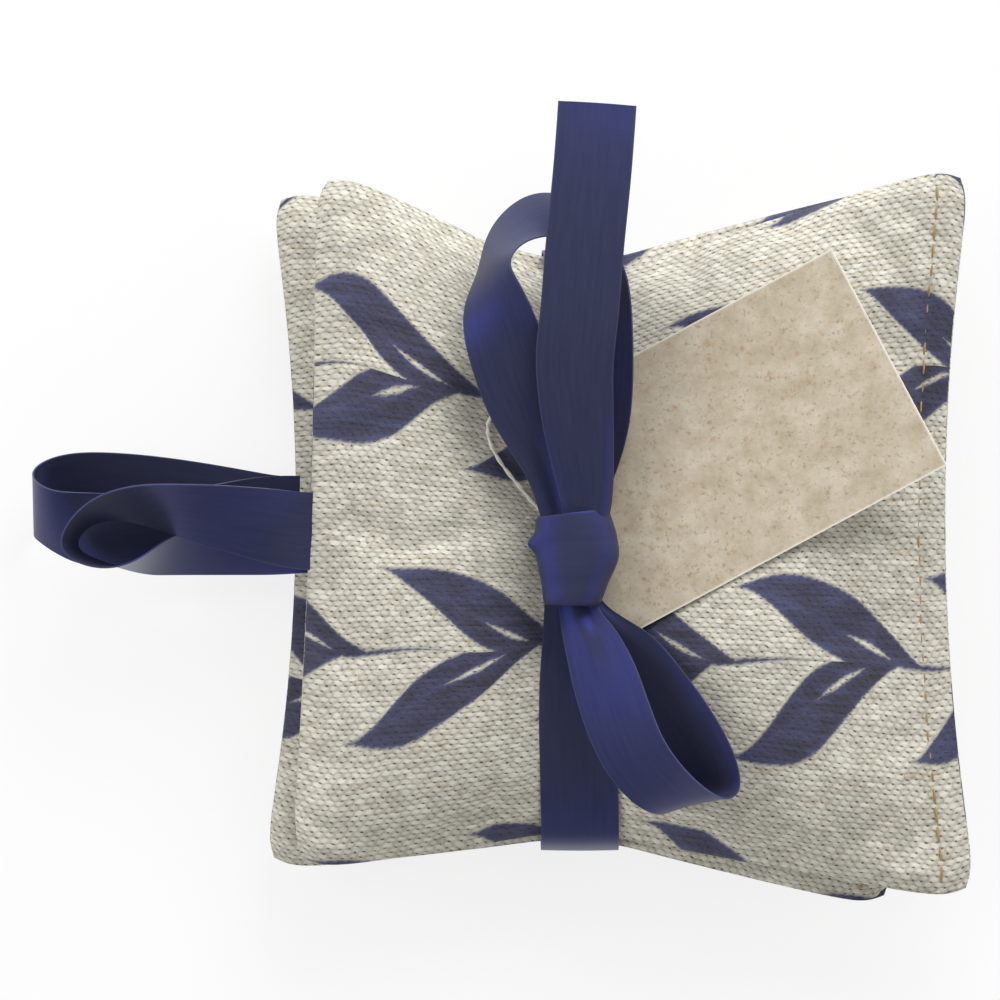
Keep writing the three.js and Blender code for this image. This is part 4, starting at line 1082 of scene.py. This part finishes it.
# Stage. The bundle lies on white paper in a light tent that is dim overhead and brighter towards
# the tail, with a lamp panel beyond the tail and one at the left. The camera looks almost straight
# down through a long lens, and its place follows the photograph's pixels.
TABLE_SIZE = 4
TABLE_DROP = 0.0002
TABLE_GLOW = 0.8
PAPER_WHITE = "#F4F4F4"
PLAIN_WHITE = (1, 1, 1, 1)
LAMPS = {
    "top_panel": {"at": (0.25, 0.75, 0.55), "energy": 6.0, "size": 0.6},
    "side_panel": {"at": (-0.8, 0.1, 0.6), "energy": 2.0, "size": 0.6},
}
VIEW_WIDTH = 0.1923
VIEW_ELEVATION = math.radians(88)
CAMERA_AWAY = 3.0
SENSOR = 36
PIXELS_A_MM = 5.2
PHOTO_MIDDLE = (500, 500)
PLAN_ORIGIN_PIXEL = (600, 535)
LOOK_HEIGHT = 28

bpy.ops.object.select_all(action="DESELECT")
bpy.ops.mesh.primitive_plane_add(size=TABLE_SIZE, location=(0, 0, -TABLE_DROP))
table = bpy.context.active_object
table.name = "table"
# Matt paper: the camera sees it near white, and it keeps the bundle's soft shadow
paper, node = new_material("white_table_paper")
rays = node("LightPath")
plain = node("BsdfDiffuse", {"Color": PAPER_WHITE})
glow = node("Emission", {"Color": PLAIN_WHITE, "Strength": 1.0})
seen = rays.outputs["Is Camera Ray"]
for kind in ("Is Glossy Ray", "Is Transmission Ray"):
    seen = node("Math", {0: seen, 1: rays.outputs[kind]}, operation="MAXIMUM")
seen = node("Math", {0: seen, 1: TABLE_GLOW}, operation="MULTIPLY")
mix = node("MixShader", {0: seen, 1: plain, 2: glow})
node("OutputMaterial", {0: mix})
table.data.materials.append(paper)

world = bpy.data.worlds.new("light_tent")
bpy.context.scene.world = world
world.use_nodes = True
world.node_tree.nodes.clear()
node = functools.partial(add_node, world.node_tree)
way = node("TexCoord").outputs["Generated"]
way = node("SeparateXYZ", {0: way})
tent = node("MapRange", {0: way.outputs["Z"], 1: 0.5, 2: 0.82, 3: 1.45, 4: 0.12})
towards_tail = node("MapRange", {0: way.outputs["Y"], 1: -1.0, 2: 1.0, 3: 0.52, 4: 1.48})
tent = node("Math", {0: tent, 1: towards_tail}, operation="MULTIPLY")
skirt = node("MapRange", {0: way.outputs["Z"], 1: 0.0, 2: 0.3, 3: 0.5, 4: 1.0})
tent = node("Math", {0: tent, 1: skirt}, operation="MULTIPLY")
tent_light = node("Background", {"Color": PLAIN_WHITE, "Strength": tent})
node("OutputWorld", {0: tent_light})

for name, panel in LAMPS.items():
    lamp = bpy.data.lights.new(name, "AREA")
    lamp.energy = panel["energy"]
    lamp.size = panel["size"]
    holder = bpy.data.objects.new(name, lamp)
    bpy.context.scene.collection.objects.link(holder)
    holder.location = panel["at"]
    holder.rotation_euler = (-holder.location).to_track_quat("-Z", "Y").to_euler()

lens = bpy.data.cameras.new("camera")
lens.sensor_width = SENSOR
lens.lens = SENSOR * CAMERA_AWAY / VIEW_WIDTH
camera = bpy.data.objects.new("camera", lens)
bpy.context.scene.collection.objects.link(camera)
look_x = (PHOTO_MIDDLE[0] - PLAN_ORIGIN_PIXEL[0]) / PIXELS_A_MM
look_y = (PLAN_ORIGIN_PIXEL[1] - PHOTO_MIDDLE[1]) / PIXELS_A_MM
back = np.array([0, -math.cos(VIEW_ELEVATION), math.sin(VIEW_ELEVATION)])
camera.location = in_frame([look_x, look_y, LOOK_HEIGHT]) + back * CAMERA_AWAY
camera.rotation_euler = (math.pi / 2 - VIEW_ELEVATION, 0, 0)
bpy.context.scene.camera = camera
bpy.context.scene.view_settings.view_transform = "Standard"
